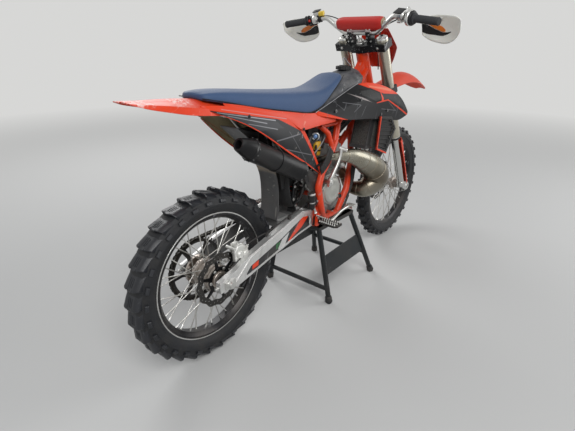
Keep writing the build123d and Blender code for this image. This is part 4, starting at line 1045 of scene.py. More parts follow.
def make_film_finishes():
    """Orange mouldings with black films on them, their edges left orange."""
    panel = Finish("panel_film", ORANGE, 0.4, Specular_IOR_Level=0.22).vary(6, 0.2, 0.85)
    film = panel.zone([(-60, 940), (-60, 984), (280, 913), (405, 853), (470, 760), (545, 640)])
    panel.tint(film, (0.009, 0.01, 0.012), 0.34)
    panel.tint(panel.zone([(20, 934), (20, 962), (270, 905), (300, 880), (160, 890)], 3),
        (0.045, 0.046, 0.05), 0.42)
    for start, end, wide in (
        ((0, 968), (262, 911), 1.7), ((40, 953), (210, 908), 1.1), ((120, 918), (262, 880), 0.9),
        ((20, 976), (330, 908), 0.8),
    ):
        panel.tint(panel.line(start, end, wide, 1.5, 0.3), (0.4, 0.4, 0.42), 0.45)
    for start, end, wide in (((250, 840), (400, 842), 2.2), ((300, 800), (470, 745), 1.6),
            ((330, 862), (452, 690), 1.4)):
        panel.tint(panel.line(start, end, wide, 0.5), (0.14, 0.14, 0.15), 0.4)
    panel.scuffed(0.5, (0.45, 0.4, 0.38), 0.55, 60).dirt(0.22, 0.85)

    shroud = Finish("shroud_film", ORANGE, 0.4, Specular_IOR_Level=0.2).vary(6, 0.2, 0.85)
    film = shroud.zone([(540, 912), (540, 1040), (1400, 1040), (1400, 770), (1000, 770), (684, 866)])
    shroud.tint(film, (0.007, 0.0075, 0.009), 0.4)
    wing = [(834, 999), (834, 1040), (1160, 1040), (1160, 930), (986, 948), (892, 978)]
    shroud.tint(shroud.zone(wing, 1), ORANGE, 0.36)
    shroud.tint(shroud.zone([(900, 982), (900, 988), (1080, 962), (1060, 952)], 3), (0.75, 0.2, 0.12), 0.5)
    shroud.tint(shroud.zone([(955, 912), (952, 957), (966, 956), (976, 914)], 1), ORANGE, 0.36)
    shroud.tint(shroud.zone([(917, 910), (917, 914), (964, 918), (1016, 920), (1016, 914)], 1), ORANGE, 0.36)
    low_line = [(1010, 915), (1013, 920), (1128, 871), (1240, 824), (1234, 817), (1124, 865)]
    shroud.tint(shroud.zone(low_line, 0.7), ORANGE, 0.36)
    mesh = shroud.zone([(826, 952), (831, 969), (900, 971), (953, 951), (948, 925), (908, 921)], 1.5)
    weave = shroud.noise_dots(900)
    # A near-black rim round the mesh opening: painted shade, so that the opening looks recessed.
    recess_shade_zone = shroud.zone([(818, 948), (824, 977), (902, 978), (962, 955), (956, 917), (904, 913)], 1.5)
    shroud.tint(recess_shade_zone, 0.003, 0.5)
    shroud.tint(shroud.pen.maths("MULTIPLY", mesh, weave), 0.035, 0.5)
    shroud.tint(shroud.zone([(750, 966), (758, 971), (818, 944), (917, 914), (917, 908), (815, 936)], 1.5),
        (0.34, 0.3, 0.29), 0.45)
    for start, end, wide in (
        ((700, 931), (800, 913), 1.1), ((752, 887), (800, 913), 1.1), ((664, 928), (690, 900), 1.1),
        ((690, 900), (716, 926), 1.1), ((800, 862), (834, 905), 1.2), ((960, 880), (1100, 858), 1.2),
        ((1020, 905), (1090, 862), 1.0),
    ):
        shroud.tint(shroud.line(start, end, wide, 0.4), (0.14, 0.14, 0.15), 0.4)
    shroud.scuffed(0.4, (0.14, 0.14, 0.15), 0.5, 65).dirt(0.15, 0.9)
    return panel.done(), shroud.done()


panel_film, shroud_film = make_film_finishes()


def dress_side_panels():
    rows = (
        (-54, (-88, 993), (-92, 984), 1), (63, (-100, 984), (-112, 940), 4),
        (168, (-106, 958), (-132, 888), 6), (300, (-111, 926), (-140, 792), 8),
        (395, (-116, 896), (-140, 735), 7), (445, (-122, 840), (-138, 706), 5),
        (500, (-128, 742), (-132, 672), 3), (548, (-128, 662), (-130, 644), 0),
    )
    skin = Shape().sheet([bowed(*row, (0.05, 0.08, 0.25, 0.5, 0.75, 0.92, 0.95)) for row in rows])
    for shares in ((0, 0.02, 0.05), (0.95, 0.98, 1)):
        skin.put(Shape().sheet([bowed(*row, shares) for row in rows]).painted(1))
    finishes = [panel_film, orange_plastic, panel_inside_painted_light]
    skin = skin.mirrored()
    chassis.piece("side_panels_moulded", skin, finishes, "side_panels", rounds=2, wall=3.5,
        lining=2)
    rows = (
        (40, (-87, 992), (-99, 984), 0), (110, (-93, 980), (-104, 968), 1), (190, (-99, 962), (-107, 950), 1),
        (260, (-103, 946), (-110, 930), 1), (330, (-104, 934), (-113, 908), 2),
        (372, (-105, 927), (-122, 880), 3), (400, (-105, 922), (-131, 856), 3),
        (440, (-104, 914), (-127, 851), 3), (500, (-103, 906), (-120, 852), 3),
        (560, (-104, 903), (-119, 853), 3), (620, (-110, 909), (-123, 854), 3),
        (652, (-118, 911), (-128, 857), 2),
    )
    strip = Shape().sheet([bowed(*row) for row in rows]).mirrored()
    chassis.piece("side_panel_fronts", strip, orange_plastic, rounds=1, wall=3)
    rows = (
        (118, (126, 914), (127, 908), 0), (190, (134, 872), (133, 842), 1), (268, (138, 816), (135, 780), 2),
        (340, (139, 768), (135, 728), 2), (410, (136, 724), (133, 690), 2), (470, (130, 688), (130, 668), 1),
        (520, (127, 660), (127, 652), 0),
    )
    lip = Shape().sheet([bowed(*row, (0, 0.5, 0.86)) for row in rows])
    lip.put(Shape().sheet([bowed(*row, (0.86, 1)) for row in rows]).painted(1))
    chassis.piece("airbox_cover_lip", lip, [panel_inside_painted_light, orange_plastic], rounds=1, wall=3)
    bolts = Shape().bolted([(120, -126, 944), (418, -131, 858), (520, -132, 690)], (0, -1, 0.1), 3.8, 3, 2.6)
    chassis.piece("side_panel_bolts", bolts.mirrored(), black_steel)


def dress_shrouds():
    rows = (
        (530, (-104, 907), (-106, 902), (-107, 895)), (600, (-104, 926), (-120, 900), (-129, 880)),
        (676, (-104, 948), (-136, 906), (-150, 862)), (760, (-106, 976), (-152, 922), (-163, 853)),
        (840, (-112, 1001), (-165, 938), (-172, 848)), (920, (-130, 1002), (-175, 936), (-178, 838)),
        (1000, (-152, 985), (-184, 928), (-182, 826)), (1070, (-166, 962), (-188, 908), (-184, 814)),
        (1135, (-178, 932), (-191, 882), (-186, 802)), (1190, (-186, 890), (-191, 858), (-188, 810)),
        (1236, (-190, 838), (-190, 830), (-189, 822)),
    )
    lines = []
    for x, top, middle, low in rows:
        line = []
        for (y0, z0), (y1, z1), shares in (
            (top, middle, (0, 0.06, 0.5, 0.94)), (middle, low, (0.06, 0.5, 0.9, 0.96, 1)),
        ):
            line += [(x, y0 + (y1 - y0) * t, z0 + (z1 - z0) * t) for t in shares]
        lines.append(line)
    skin = Shape().sheet(lines)
    lip = Shape().sheet([line[-2:] for line in lines])
    skin.put(lip.painted(1))
    finishes = [shroud_film, orange_plastic]
    skin = skin.mirrored()
    chassis.piece("shrouds_moulded", skin, finishes, "shrouds", rounds=2, wall=3.5)
    # Pale tubes along the shrouds' upper edges: a painted highlight.
    edges = [[(x, side * (-top[0] + 0.5), top[1] - 1) for x, top, *_ in rows[:5]] for side in (1, -1)]
    chassis.cable("shroud_painted_highlights", edges, 1.5, painted_edge_highlight)
    bolts = Shape().bolted([(800, -160, 938), (1010, -187, 868), (640, -133, 902)], (0, -1, 0.15), 4, 3, 3)
    chassis.piece("shroud_bolts", bolts.mirrored(), dull_steel)


def dress_tank():
    rows = (
        (600, 60, 872, 935, 45), (640, 78, 860, 958, 60), (680, 90, 846, 978, 70), (740, 96, 858, 1006, 74),
        (800, 98, 878, 1028, 72), (855, 97, 908, 1045, 66), (905, 94, 944, 1057, 56),
        (945, 78, 968, 1060, 50), (968, 60, 986, 1056, 44),
    )
    lines = []
    for x, half, low, high, top in rows:
        waist = low + 0.5 * (high - low)
        lines.append(arch(
            x, (-half * 0.4, low), (-half * 0.78, low + 4), (-half, waist - 12), (-half, waist + 12),
            (-half * 0.94, high - 34), (-top, high - 12), (-top * 0.55, high - 3), (0, high),
        ))
    body = Shape().through(lines, capped=True)
    chassis.piece("fuel_tank_moulded", body, tank_plastic, "fuel_tank", rounds=2)
    cap = Shape().turned([(0, 33), (14, 33), (17, 30), (17, 22), (20, 20), (20, 6)], 40)
    for i in range(10):
        cap.put(Shape().turned([(1, 4.5), (14, 4), (16, 2)], 8), turn(36 * i) @ move(32, 0, 0))
    shape = Shape().put(cap, facing((889, 0, 1052), (0.03, 0, 1)))
    chassis.piece("tank_cap", shape, black_plastic, edge=0.6)
    vent = [(890, 0, 1070), (890, 2, 1086), (898, 8, 1100), (916, 18, 1104), (938, 24, 1098), (962, 24, 1082),
        (984, 20, 1066)]
    chassis.cable("tank_vent_hose", [vent], 3.6, grey_hose)


def seat_shape():
    rows = (
        (-22, 56, 1003, 1024), (10, 68, 998, 1028), (60, 80, 989, 1028), (150, 90, 966, 1021),
        (240, 96, 948, 1012), (333, 99, 932, 1004), (420, 101, 916, 997), (500, 101, 903, 993),
        (560, 98, 912, 990), (610, 93, 929, 991), (660, 88, 956, 1000), (700, 82, 980, 1012),
        (750, 74, 1006, 1032), (800, 60, 1032, 1050),
    )
    lines = []
    for x, half, low, high in rows:
        tall = high - low
        lines.append(arch(
            x, (-half * 0.5, low - 1), (-half * 0.96, low - 1), (-half, low + 3), (-half, low + 0.3 * tall),
            (-half * 0.96, low + 0.6 * tall), (-half * 0.86, high - 0.14 * tall), (-half * 0.68, high - 3),
            (-half * 0.35, high + 1), (0, high + 2),
        ))
    return Shape().through(lines, capped=True)


def dress_seat():
    cover = chassis.piece("seat_cover", seat_shape(), gripper_blue, "seat", rounds=2)
    rows = (
        (-20, 57, 1004), (60, 80, 989), (150, 90, 966), (240, 96, 948), (333, 99, 932), (420, 101, 916),
        (500, 101, 903), (560, 98, 912), (610, 93, 929), (660, 88, 956), (700, 82, 980), (750, 74, 1006),
        (798, 61, 1031),
    )
    piping = [[(x, side * (half + 0.6), low + 5) for x, half, low in rows] for side in (1, -1)]
    chassis.cable("seat_piping", piping, 1.7, black_plastic)


def dress_rear_fender():
    rows = (
        (-262, (-48, 1013), (-46, 1016), (-30, 1017), (-14, 1018), 1018),
        (-246, (-60, 1008), (-57, 1014), (-36, 1016), (-16, 1018), 1018),
        (-226, (-71, 1000), (-66, 1011.5), (-44, 1014), (-20, 1016), 1017),
        (-160, (-92, 985), (-87, 1004), (-62, 1008), (-30, 1013), 1015),
        (-86, (-104, 968), (-98, 991), (-72, 1000), (-34, 1009), 1012),
        (-10, (-100, 960), (-95, 981), (-70, 991), (-34, 1003), 1006),
        (60, (-93, 949), (-89, 966), (-66, 978), (-32, 991), 995),
        (92, (-88, 943), (-85, 958), (-64, 972), (-32, 984), 988),
    )
    lines = []
    for x, low, crease, middle, high, ridge in rows:
        rise = crease[1] - low[1]
        below = (crease[0] - 0.7, crease[1] - min(3, rise / 3))
        beside = (crease[0] + 2.6, crease[1] + 0.6)
        gutter = (high[0] - 3, high[1] - 2.2)
        lines.append(arch(x, low, (low[0] + 0.4, low[1] + 1.5), below, crease, beside, middle, gutter, high,
            (0, ridge)))
    skin = Shape().sheet(lines)
    chassis.piece("rear_fender_moulded", skin, fender_plastic, "rear_fender", rounds=2,
        wall=3.5)


def dress_front_fender():
    rows = (
        (1178, (-44, 932), (-26, 941), (-12, 944), (0, 945)),
        (1220, (-50, 939), (-30, 953), (-14, 957), (0, 958)),
        (1262, (-54, 944), (-34, 961), (-16, 968), (0, 971)),
        (1327, (-62, 938), (-40, 968), (-19, 982), (0, 986)),
        (1400, (-66, 950), (-43, 984), (-20, 1000), (0, 1005)),
        (1473, (-68, 958), (-45, 996), (-21, 1013), (0, 1018)),
        (1560, (-68, 956), (-44, 990), (-20, 1006), (0, 1010)),
        (1640, (-66, 946), (-42, 975), (-19, 988), (0, 992)),
        (1705, (-61, 930), (-37, 954), (-17, 965), (0, 968)),
        (1760, (-54, 912), (-31, 931), (-14, 939), (0, 941)),
        (1800, (-42, 900), (-23, 911), (-10, 915), (0, 916)),
        (1823, (-30, 894), (-16, 899), (-7, 900), (0, 901)),
    )
    lines = [arch(x, half[0], (half[0][0] * 0.97, half[0][1] + 2), *half[1:]) for x, *half in rows]
    skin = Shape().sheet(lines)
    front_end.piece("front_fender_moulded", skin, fender_plastic, "front_fender", rounds=2,
        wall=3.5)


def dress_number_plate():
    rows = (
        (1188, 69, 1236), (1190, 73, 1232), (1205, 85, 1205), (1218, 96, 1179), (1230, 106.5, 1154),
        (1233, 107, 1147), (1246, 95, 1121), (1262, 80, 1090), (1275, 58, 1055), (1277, 50, 1049),
    )
    lines = []
    for x, half, z in rows:
        row = [(x - 20, -half, z - 2), (x - 17, -half * 0.985, z), (x - 5, -half * 0.75, z),
            (x, -half * 0.35, z)]
        lines.append(row + [(x + 1, 0, z)] + [(a, -b, c) for a, b, c in reversed(row)])
    skin = Shape().sheet(lines)
    front_end.piece("number_plate_moulded", skin, plate_plastic_shaded, "number_plate", rounds=2,
        wall=3)
    ribs = Shape()
    for y in (-52, -18, 18, 52):
        ribs.slab([(1186, 1216), (1190, 1216), (1250, 1092), (1244, 1092)], y - 1.4, y + 1.4)
    ribs.through([[(1215, -60, z), (1221, 0, z), (1215, 60, z), (1211, 60, z), (1216, 0, z),
        (1211, -60, z)] for z in (1166, 1169)], capped=True)
    front_end.piece("number_plate_ribs", ribs, plate_plastic_shaded)


def dress_mud_flap():
    arc = [(150, 890), (190, 856), (232, 820), (268, 786), (300, 750), (330, 716), (352, 678), (362, 640),
        (366, 600), (367, 560), (366, 520), (360, 490), (352, 462)]
    rows = [[(x, -y, z) for y in (50, 48, 30, 10, -10, -30, -48, -50)] for x, z in arc]
    for i, row in enumerate(rows):
        rows[i] = [(x - (0.0 if abs(y) < 40 else 7.0 if abs(y) > 49 else 5.5), y, z) for x, y, z in row]
    skin = Shape().sheet(rows)
    chassis.piece("inner_fender_moulded", skin, flap_plastic, "inner_fender", rounds=2,
        wall=3)


def dress_bodywork():
    dress_side_panels()
    dress_shrouds()
    dress_tank()
    dress_seat()
    dress_rear_fender()
    dress_front_fender()
    dress_number_plate()
    dress_mud_flap()
    for node in ("airbox", "chain_guide"):
        chassis.rounded_solid(node, black_plastic, 3.0)


dress_bodywork()


# Engine, exhaust, frame and running gear

# The exhaust pipe's middle line with its radius, from the port to the silencer
PIPE_STATIONS = (
    ((838, -14, 606), 23), ((880, -16, 578), 24), ((906, -30, 530), 26), ((908, -62, 488), 30),
    ((915, -105, 478), 38), ((938, -145, 488), 50), ((985, -165, 534), 66), ((936, -173, 592), 63),
    ((868, -174, 634), 55), ((815, -172, 662), 47), ((756, -168, 686), 38), ((700, -154, 700), 29),
    ((650, -142, 706), 20), ((600, -124, 706), 14), ((520, -100, 690), 13), ((450, -108, 666), 13),
    ((402, -120, 690), 16),
)


def make_pipe_finish():
    """Raw steel: warm and brown at the header, olive grey along the belly, with painted shade low down and
    along the rear run under the side panel.
    """
    raw = Finish("pipe_raw", (0.38, 0.365, 0.31), 0.27, 1.0)
    belly = raw.pen.noise(raw.place, 6, 4, 0.5)
    raw.tint(raw.pen.step(belly, 0.42, 0.68), (0.2, 0.18, 0.125), 0.25)
    # Darker brown low down, between 0.5 and 0.6 m up: painted shade under the pipe.
    raw.tint(raw.band("Z", 0.5, 0.6, 0.06), (0.13, 0.105, 0.075), 0.32)
    raw.tint(raw.band("Y", -0.105, 0.05, 0.03), (0.17, 0.1, 0.065), 0.34)
    # Near black along the rear run, behind x = 580 mm: painted shade under the side panel.
    raw.tint(raw.band("X", -0.6, -0.165, 0.02), (0.02, 0.019, 0.018), 0.5)
    raw.scuffed(0.35, (0.5, 0.48, 0.42), 0.35, 50)
    return raw.dirt(0.35, 0.75).done()


def dress_exhaust():
    raw = make_pipe_finish()
    chassis.pipe("expansion_pipe_rolled", [PIPE_STATIONS], raw, "expansion_pipe", 12)
    beads = Shape()
    for i in (2, 4, 5, 7, 8, 9, 11, 13):
        (before, _), (spot, radius), (after, _) = PIPE_STATIONS[i - 1], PIPE_STATIONS[i], PIPE_STATIONS[i + 1]
        bead = [(y, radius + rise) for y, rise in ((-1.8, -1), (-1.2, 0.8), (0, 1.5), (1.2, 0.8), (1.8, -1))]
        beads.ringed(spot, Vector(after) - Vector(before), bead, 48)
    beads.lathed(PIPE_STATIONS[0][0], (42, -2, -28), [(0, 29), (6, 30), (14, 27), (16, 25)])
    chassis.piece("pipe_weld_seams", beads, weld_steel)
    springs = []
    for side in (1, -1):
        springs.append([((812, -18 + side * 27, 616), 2.6), ((846, -17 + side * 28, 600), 3.4),
            ((876, -16 + side * 25, 582), 2.6)])
    chassis.pipe("pipe_springs", springs, plain_steel, around=3)

    slope = radians(26.5)
    way = Vector((cos(slope), 0, -sin(slope)))
    tail = Vector((67, -122, 858))
    place = facing(tail, way)
    can = Shape().turned(
        [(46, 14), (4, 14), (0, 16), (0, 22), (4, 24.5), (58, 38), (61, 41.5), (70, 42), (72, 41),
         (364, 41), (366, 42.2), (380, 42), (384, 39), (400, 24), (402, 19)], 56,
    )
    shape = Shape().put(can, place)
    band = Shape().spun([(-9, 41), (-9, 43), (9, 43), (9, 41)], 56)
    shape.put(band, place @ move(0, 215, 0))
    chassis.piece("silencer_can", shape, silencer_black, "silencer")
    rivets = Shape()
    dome = Shape().turned([(0, 3.2), (1.4, 3.0), (2.3, 1.6)], 10)
    for run, radius in ((66, 41.8), (373, 42)):
        for i in range(12):
            angle = radians(30 * i + 10)
            out = Vector((radius * cos(angle), 0, radius * sin(angle)))
            lean = Vector((0, 1, 0)).rotation_difference(out).to_matrix().to_4x4()
            rivets.put(dome, place @ move(out.x, run, out.z) @ lean)
    rivets.bolted([(262, -110, 806)], (0, -1, 0), 6, 6, 3)
    chassis.piece("silencer_rivets", rivets, dull_steel)
    tab = Shape().slab([(250, 800), (276, 790), (262, 842), (244, 850)], -96, -92).softened(1)
    chassis.piece("silencer_tab", tab, anodised_black)


def dress_engine():
    chassis.rounded_solid("engine_cases", engine_alloy, 4.0)
    chassis.rounded_solid("cylinder", engine_alloy, 3.5)
    covers = Shape()
    covers.lathed((642, -112.3, 545), (0, -1, 0),
        [(-3, 62), (0, 67), (11, 67), (14, 65), (16, 61), (21, 58), (24.5, 51), (25.5, 40), (24.5, 37),
        (24.5, 20), (25.5, 17)], 64, 1)
    for x, z in circle(67, 7, 642, 545, 12):
        covers.lathed((x, -113, z), (0, -1, 0), [(0, 7.5), (9, 7.5), (10.5, 6.5)], 14, 1)
        covers.bolted([(x, -123.5, z)], (0, -1, 0), 4.2, 4, 0, 2)
    covers.lathed((735, 84.3, 495), (0, 1, 0),
        [(-2, 42), (0, 44.5), (7, 44.5), (9, 42), (13.5, 37), (14, 22), (13, 18)], 48)
    covers.bolted([(x, 91, z) for x, z in circle(40, 5, 735, 495, 20)], (0, 1, 0), 3.8, 4, 0, 2)
    chassis.piece("engine_covers_turned", covers, [engine_alloy, cover_alloy, plain_steel],
        "engine_covers", sharp=28)

    valve = Shape().lathed((770, -82, 640), (0, -1, 0), [(0, 30), (9, 30), (12, 27), (14, 22)], 36)
    valve.lathed((770, -94, 640), (0, -1, 0), [(0, 20), (10, 19), (17, 14), (20, 7)], 32, 1)
    valve.bolted([(x, -91, z) for x, z in circle(25.5, 5, 770, 640, 36)], (0, -1, 0), 3.2, 3, 0, 2)
    valve.lathed((768, -60, 470), (0, -1, 0), [(0, 27), (8, 27), (12, 23), (18, 12), (30, 11)], 28, 1)
    valve.bolted([(x, -67, z) for x, z in circle(23, 4, 768, 470, 45)], (0, -1, 0), 3.4, 4, 0, 2)
    chassis.piece("valve_and_pump_covers", valve, [dark_alloy, bright_alloy, plain_steel],
        sharp=28)

    studs = Shape()
    studs.bolted([(712, -46, 726), (712, 46, 726), (800, -46, 721), (800, 46, 721), (728, 0, 729),
        (790, -30, 724)], (0.06, 0, 1), 6.5, 8, 2)
    for side in (1, -1):
        for x, z in ((702, 585), (800, 575)):
            studs.bolted([(x, side * 52, z)], (0, side, 0.3), 5.5, 6, 2)
        for x, z in ((798, 470), (700, 408), (551, 431)):
            out = 98 if x != 551 else 119
            size = 9 if x != 551 else 14
            studs.bolted([(x, side * out, z)], (0, side, 0), size, 8, 3)
    chassis.piece("engine_bolts", studs, plain_steel)

    ribs = Shape()
    for i in range(7):
        z = 586 + i * 15
        ribs.ringed_slab([(694, -57), (813, -57), (813, 57), (694, 57)],
            [(702, -50), (804, -50), (804, 50), (702, 50)], z, z + 3.4)
    ribs = Shape().put(ribs, LAID_FLAT).softened(1.0, 1)
    chassis.piece("cylinder_ribs", ribs, engine_alloy)

    cap_line = [(0, 8), (3, 11), (26, 10), (30, 12), (34, 12), (40, 8), (44, 5)]
    plug_cap = Shape().lathed((756, 0, 744), (-0.05, 0, 1), cap_line, 20)
    chassis.piece("plug_cap", plug_cap, soft_rubber)
    lead = [(754, 0, 788), (752, 0, 800), (764, 6, 812), (792, 14, 812), (822, 20, 804), (850, 26, 812),
        (872, 30, 832)]
    chassis.cable("plug_lead", [lead], 3.4, soft_rubber)
    coolant = [
        [((806, 6, 716), 14), ((836, 4, 738), 14), ((872, -10, 776), 14), ((908, -40, 828), 14),
            ((936, -66, 884), 14)],
        [((774, -86, 470), 11), ((806, -96, 462), 11), ((846, -100, 500), 11), ((878, -96, 590), 11),
            ((900, -92, 660), 11), ((912, -92, 700), 11)],
    ]
    chassis.pipe("coolant_hoses", coolant, soft_rubber, around=5)
    clips = Shape()
    for spot, way, radius in (((826, 5, 730), (3, 0, 2.2), 14.6), ((926, -58, 866), (1, -1, 2), 14.6),
            ((911, -92, 690), (0.3, 0, 1), 11.6)):
        clips.ringed(spot, way, [(-5, radius - 1), (-5, radius + 0.8), (5, radius + 0.8), (5, radius - 1)],
            32)
    chassis.piece("hose_clips", clips, plain_steel)

    intake = Shape()
    intake.lathed((704, 0, 627), (-40, 0, 12),
        [(0, 27), (4, 29), (12, 29), (15, 26), (36, 27), (40, 30), (48, 30)], 36, 1)
    intake.lathed((660, 0, 640), (-60, 0, 18),
        [(0, 27), (3, 30), (10, 30), (12, 28), (48, 28), (50, 31), (60, 31), (62, 28)], 36)
    intake.lathed((634, 0, 646), (-8, 0, -52), [(0, 24), (20, 25), (46, 23), (52, 18)], 8)
    intake.lathed((624, 0, 656), (14, 0, 48), [(0, 22), (26, 23), (30, 26), (44, 26), (50, 20)], 28)
    intake.lathed((630, -26, 640), (0, -1, 0), [(0, 9), (10, 9), (12, 6)], 16)
    chassis.piece("carburettor_body", intake, [cast_alloy, soft_rubber], "carburettor",
        sharp=28)
    duct = [((604, 0, 657), 27), ((580, 14, 668), 26), ((548, 32, 686), 27), ((520, 40, 698), 30),
        ((492, 42, 706), 34)]
    chassis.pipe("airbox_duct", [duct], soft_rubber, around=8)
    overflow = [
        [(630, 18, 600), (626, 22, 560), (612, 26, 520), (600, 34, 470), (598, 44, 420), (602, 50, 396)],
        [(624, -16, 600), (612, -26, 566), (600, -34, 524), (590, -50, 470), (586, -60, 420),
         (590, -64, 400)],
    ]
    chassis.cable("overflow_hoses", overflow, 2.6, soft_rubber)


def dress_controls_at_the_feet():
    lever = [((572, -156, 606), 11), ((577, -164, 626), 9), ((588, -169, 650), 7.5), ((606, -174, 684), 7),
        ((620, -176, 716), 7), ((627, -176, 750), 8)]
    chassis.pipe("kick_lever_forged", [lever], bright_alloy, "kick_lever", 6)
    joint = Shape().lathed((572, -90, 606), (0, -1, 0),
        [(0, 11), (3, 13), (66, 12), (72, 14), (80, 14), (82, 8)], 28)
    joint.lathed((629, -176, 748), (8, -24, -6), [(-10, 7), (-8, 9), (18, 8), (24, 9), (26, 7)], 20)
    joint.bolted([(572, -172, 606)], (0, -1, 0), 6, 4, 2)
    joint.slab([(560, 590), (574, 594), (586, 612), (590, 640), (580, 642), (572, 616), (556, 602)], -168,
        -158)
    chassis.piece("kick_lever_joint", joint, bright_alloy)
    pedal = [((590, -140, 410), 8), ((612, -149, 409), 8), ((648, -153, 421), 7), ((690, -156, 437), 6.5),
        ((730, -158, 442), 6.5), ((764, -160, 441), 7)]
    shift = [((668, 124, 432), 7), ((690, 132, 438), 6.5), ((716, 138, 450), 6), ((742, 139, 464), 6),
        ((768, 140, 477), 6.5)]
    chassis.pipe("pedal_and_shifter", [pedal, shift], bright_alloy, "foot_controls", 5)
    tips = Shape()
    step = Shape()
    for y in range(-182, -148, 8):
        step.slab([(742, 436), (776, 436), (776, 449), (772, 452), (768, 447), (763, 452), (758, 447),
            (753, 452), (748, 447), (743, 452)], y, y + 6)
    tips.put(step)
    tips.lathed((590, -112, 410), (0, -1, 0), [(-2, 12), (40, 12)], 24)
    tips.lathed((770, 129, 478), (0, 1, 0), [(0, 9), (34, 9), (36, 7)], 20)
    tips.lathed((668, 46, 432), (0, 1, 0), [(0, 8), (78, 8), (80, 11), (90, 11)], 20)
    chassis.piece("pedal_step_and_pivots", tips, bright_alloy, edge=0.6)
    pegs = Shape()
    for side in (1, -1):
        tray = Shape().ringed_slab([(508, 152), (556, 152), (558, 244), (520, 246), (508, 232)],
            [(516, 160), (548, 160), (550, 236), (524, 238), (516, 228)], 430, 440)
        tray.slab([(528, 158), (536, 158), (536, 240), (528, 240)], 432, 440)
        tooth = Shape().turned([(0, 4), (8, 1.4)], 4).painted(1)
        for i in range(8):
            y = 158 + 11 * i
            tray.put(tooth, facing((512, 440, y), (0, 1, 0)), facing((553, 440, y), (0, 1, 0)),
                facing((532, 440, y), (0, 1, 0)))
        pegs.put(tray, Matrix.Scale(side, 4, (0, 1, 0)) @ LAID_FLAT)
        pegs.lathed((534, side * 140, 434), (0.2, 1, 0.1), [(-34, 9), (-30, 12), (30, 12), (34, 9)], 20)
        pegs.slab([(510, 412), (560, 412), (566, 430), (556, 452), (516, 452)], side * 119, side * 134)
    for side in (1, -1):
        lug = Shape().slab([(508, 414), (524, 410), (540, 424), (540, 462), (524, 470), (508, 456)],
            side * 134, side * 141)
        pegs.put(lug.painted(2))
        pegs.bolted([(525, side * 141, 450)], (0, side, 0), 7, 5, 2, 1)
        pegs.lathed((500, side * 150, 470), (0.9, 0, -0.5), [(0, 4), (60, 4)], 12, 1)
    metals = [black_steel, bright_alloy, orange_paint]
    chassis.piece("footpegs_cleated", pegs, metals, "footpegs", edge=0.6)


def dress_frame():
    chassis.rounded_solid("frame", orange_paint, 1.2, 40)
    chassis.rounded_solid("subframe", cast_alloy, 1.0, 40)
    guards = Shape()
    outline = [(583, 766), (614, 732), (590, 686), (548, 656), (530, 650), (518, 680), (552, 709)]
    for side in (1, -1):
        guards.slab(outline, side * 143, side * 147)
        guards.slab([(640, 386), (756, 386), (820, 470), (806, 482), (744, 404), (650, 404)], side * 115,
            side * 118)
    chassis.piece("frame_guards", guards.softened(1.2), black_plastic)
    for node in ("swingarm_left", "swingarm_right", "swingarm_centre"):
        chassis.rounded_solid(node, swingarm_alloy, 4.0, 30)


def beam_out(x):
    """How far out the swingarm's outer face is, at a place along it."""
    if x < 300:
        return 118.0
    return 118.0 - 12.0 * (x - 300) / 170 if x < 470 else 106.0 - 2.0 * (x - 470) / 120


def dress_swingarm():
    outer = [(24, 338), (60, 330), (160, 350), (262, 372), (340, 386), (420, 397), (532, 408), (536, 456),
        (512, 482), (450, 495), (380, 481), (300, 463), (200, 438), (114, 412)]
    inner = [(84, 352), (90, 344), (160, 356), (262, 378), (340, 392), (420, 402), (506, 412), (512, 440),
        (498, 460), (450, 468), (380, 450), (300, 427), (200, 399), (112, 376)]
    rails = Shape()
    rows = []
    for line, rise in ((outer, -1), (outer, 1.5), (outer, 3.4), (inner, 3.4), (inner, 1), (inner, -1)):
        rows.append([(x, -(beam_out(x) + rise), z) for x, z in line])
    rails.through(rows)
    chassis.piece("swingarm_rails", rails.mirrored(), swingarm_alloy, edge=1.0)
    low = [(86, 344), (160, 356), (262, 378), (340, 392), (420, 402), (506, 412)]
    high = [(112, 376), (200, 399), (300, 427), (380, 450), (450, 468), (498, 460)]
    recess = Shape().sheet([[(x, -(beam_out(x) + 0.6), z) for x, z in line] for line in (low, high)])
    film = Finish("swingarm_film", (0.015, 0.016, 0.018), 0.32)
    film.tint(film.zone([(344, 389), (348, 399), (452, 472), (500, 462), (446, 424)], 2), ORANGE, 0.33)
    for x in (262, 276, 290):
        film.tint(film.zone([(x, 386), (x + 2, 411), (x + 11, 414), (x + 9, 388)], 1), (0.02, 0.17, 0.045),
            0.35)
    film.tint(film.zone([(120, 355), (122, 374), (158, 383), (154, 361)], 1.5), ORANGE, 0.35)
    film = film.scuffed(0.7, 0.3, 0.5, 60).dirt(0.3, 0.7).done()
    chassis.piece("swingarm_side_film", recess.mirrored(), film)
    ends = Shape()
    for side in (1, -1):
        ends.slab([(-24, 332), (26, 332), (26, 360), (-24, 360)], side * 118.3, side * 125)
        ends.bolted([(0, side * 125, 346)], (0, side, 0), 15, 12, 3)
        ends.lathed((-62, side * 106, 345), (1, 0, 0), [(0, 5), (34, 5)], 14)
        ends.bolted([(-50, side * 106, 345)], (-1, 0, 0), 7, 6)
    ends.softened(1.4)
    chassis.piece("axle_blocks", ends, bright_alloy, "rear_axle")
    spacers = Shape()
    for side in (1, -1):
        spacers.lathed((0, side * 75.5, 346), (0, side, 0),
            [(0, 20), (3, 20), (4, 18), (15, 18), (16, 20), (18.2, 20)], 32)
    chassis.piece("wheel_spacers", spacers, anodised_black)
    slider = Shape()
    slider.sheet([[(x, y, z) for y in (62, 76)] for x,
        z in ((586, 452), (566, 468), (520, 484), (460, 502), (420, 496))])
    chassis.piece("chain_slider", slider, black_plastic, wall=4)


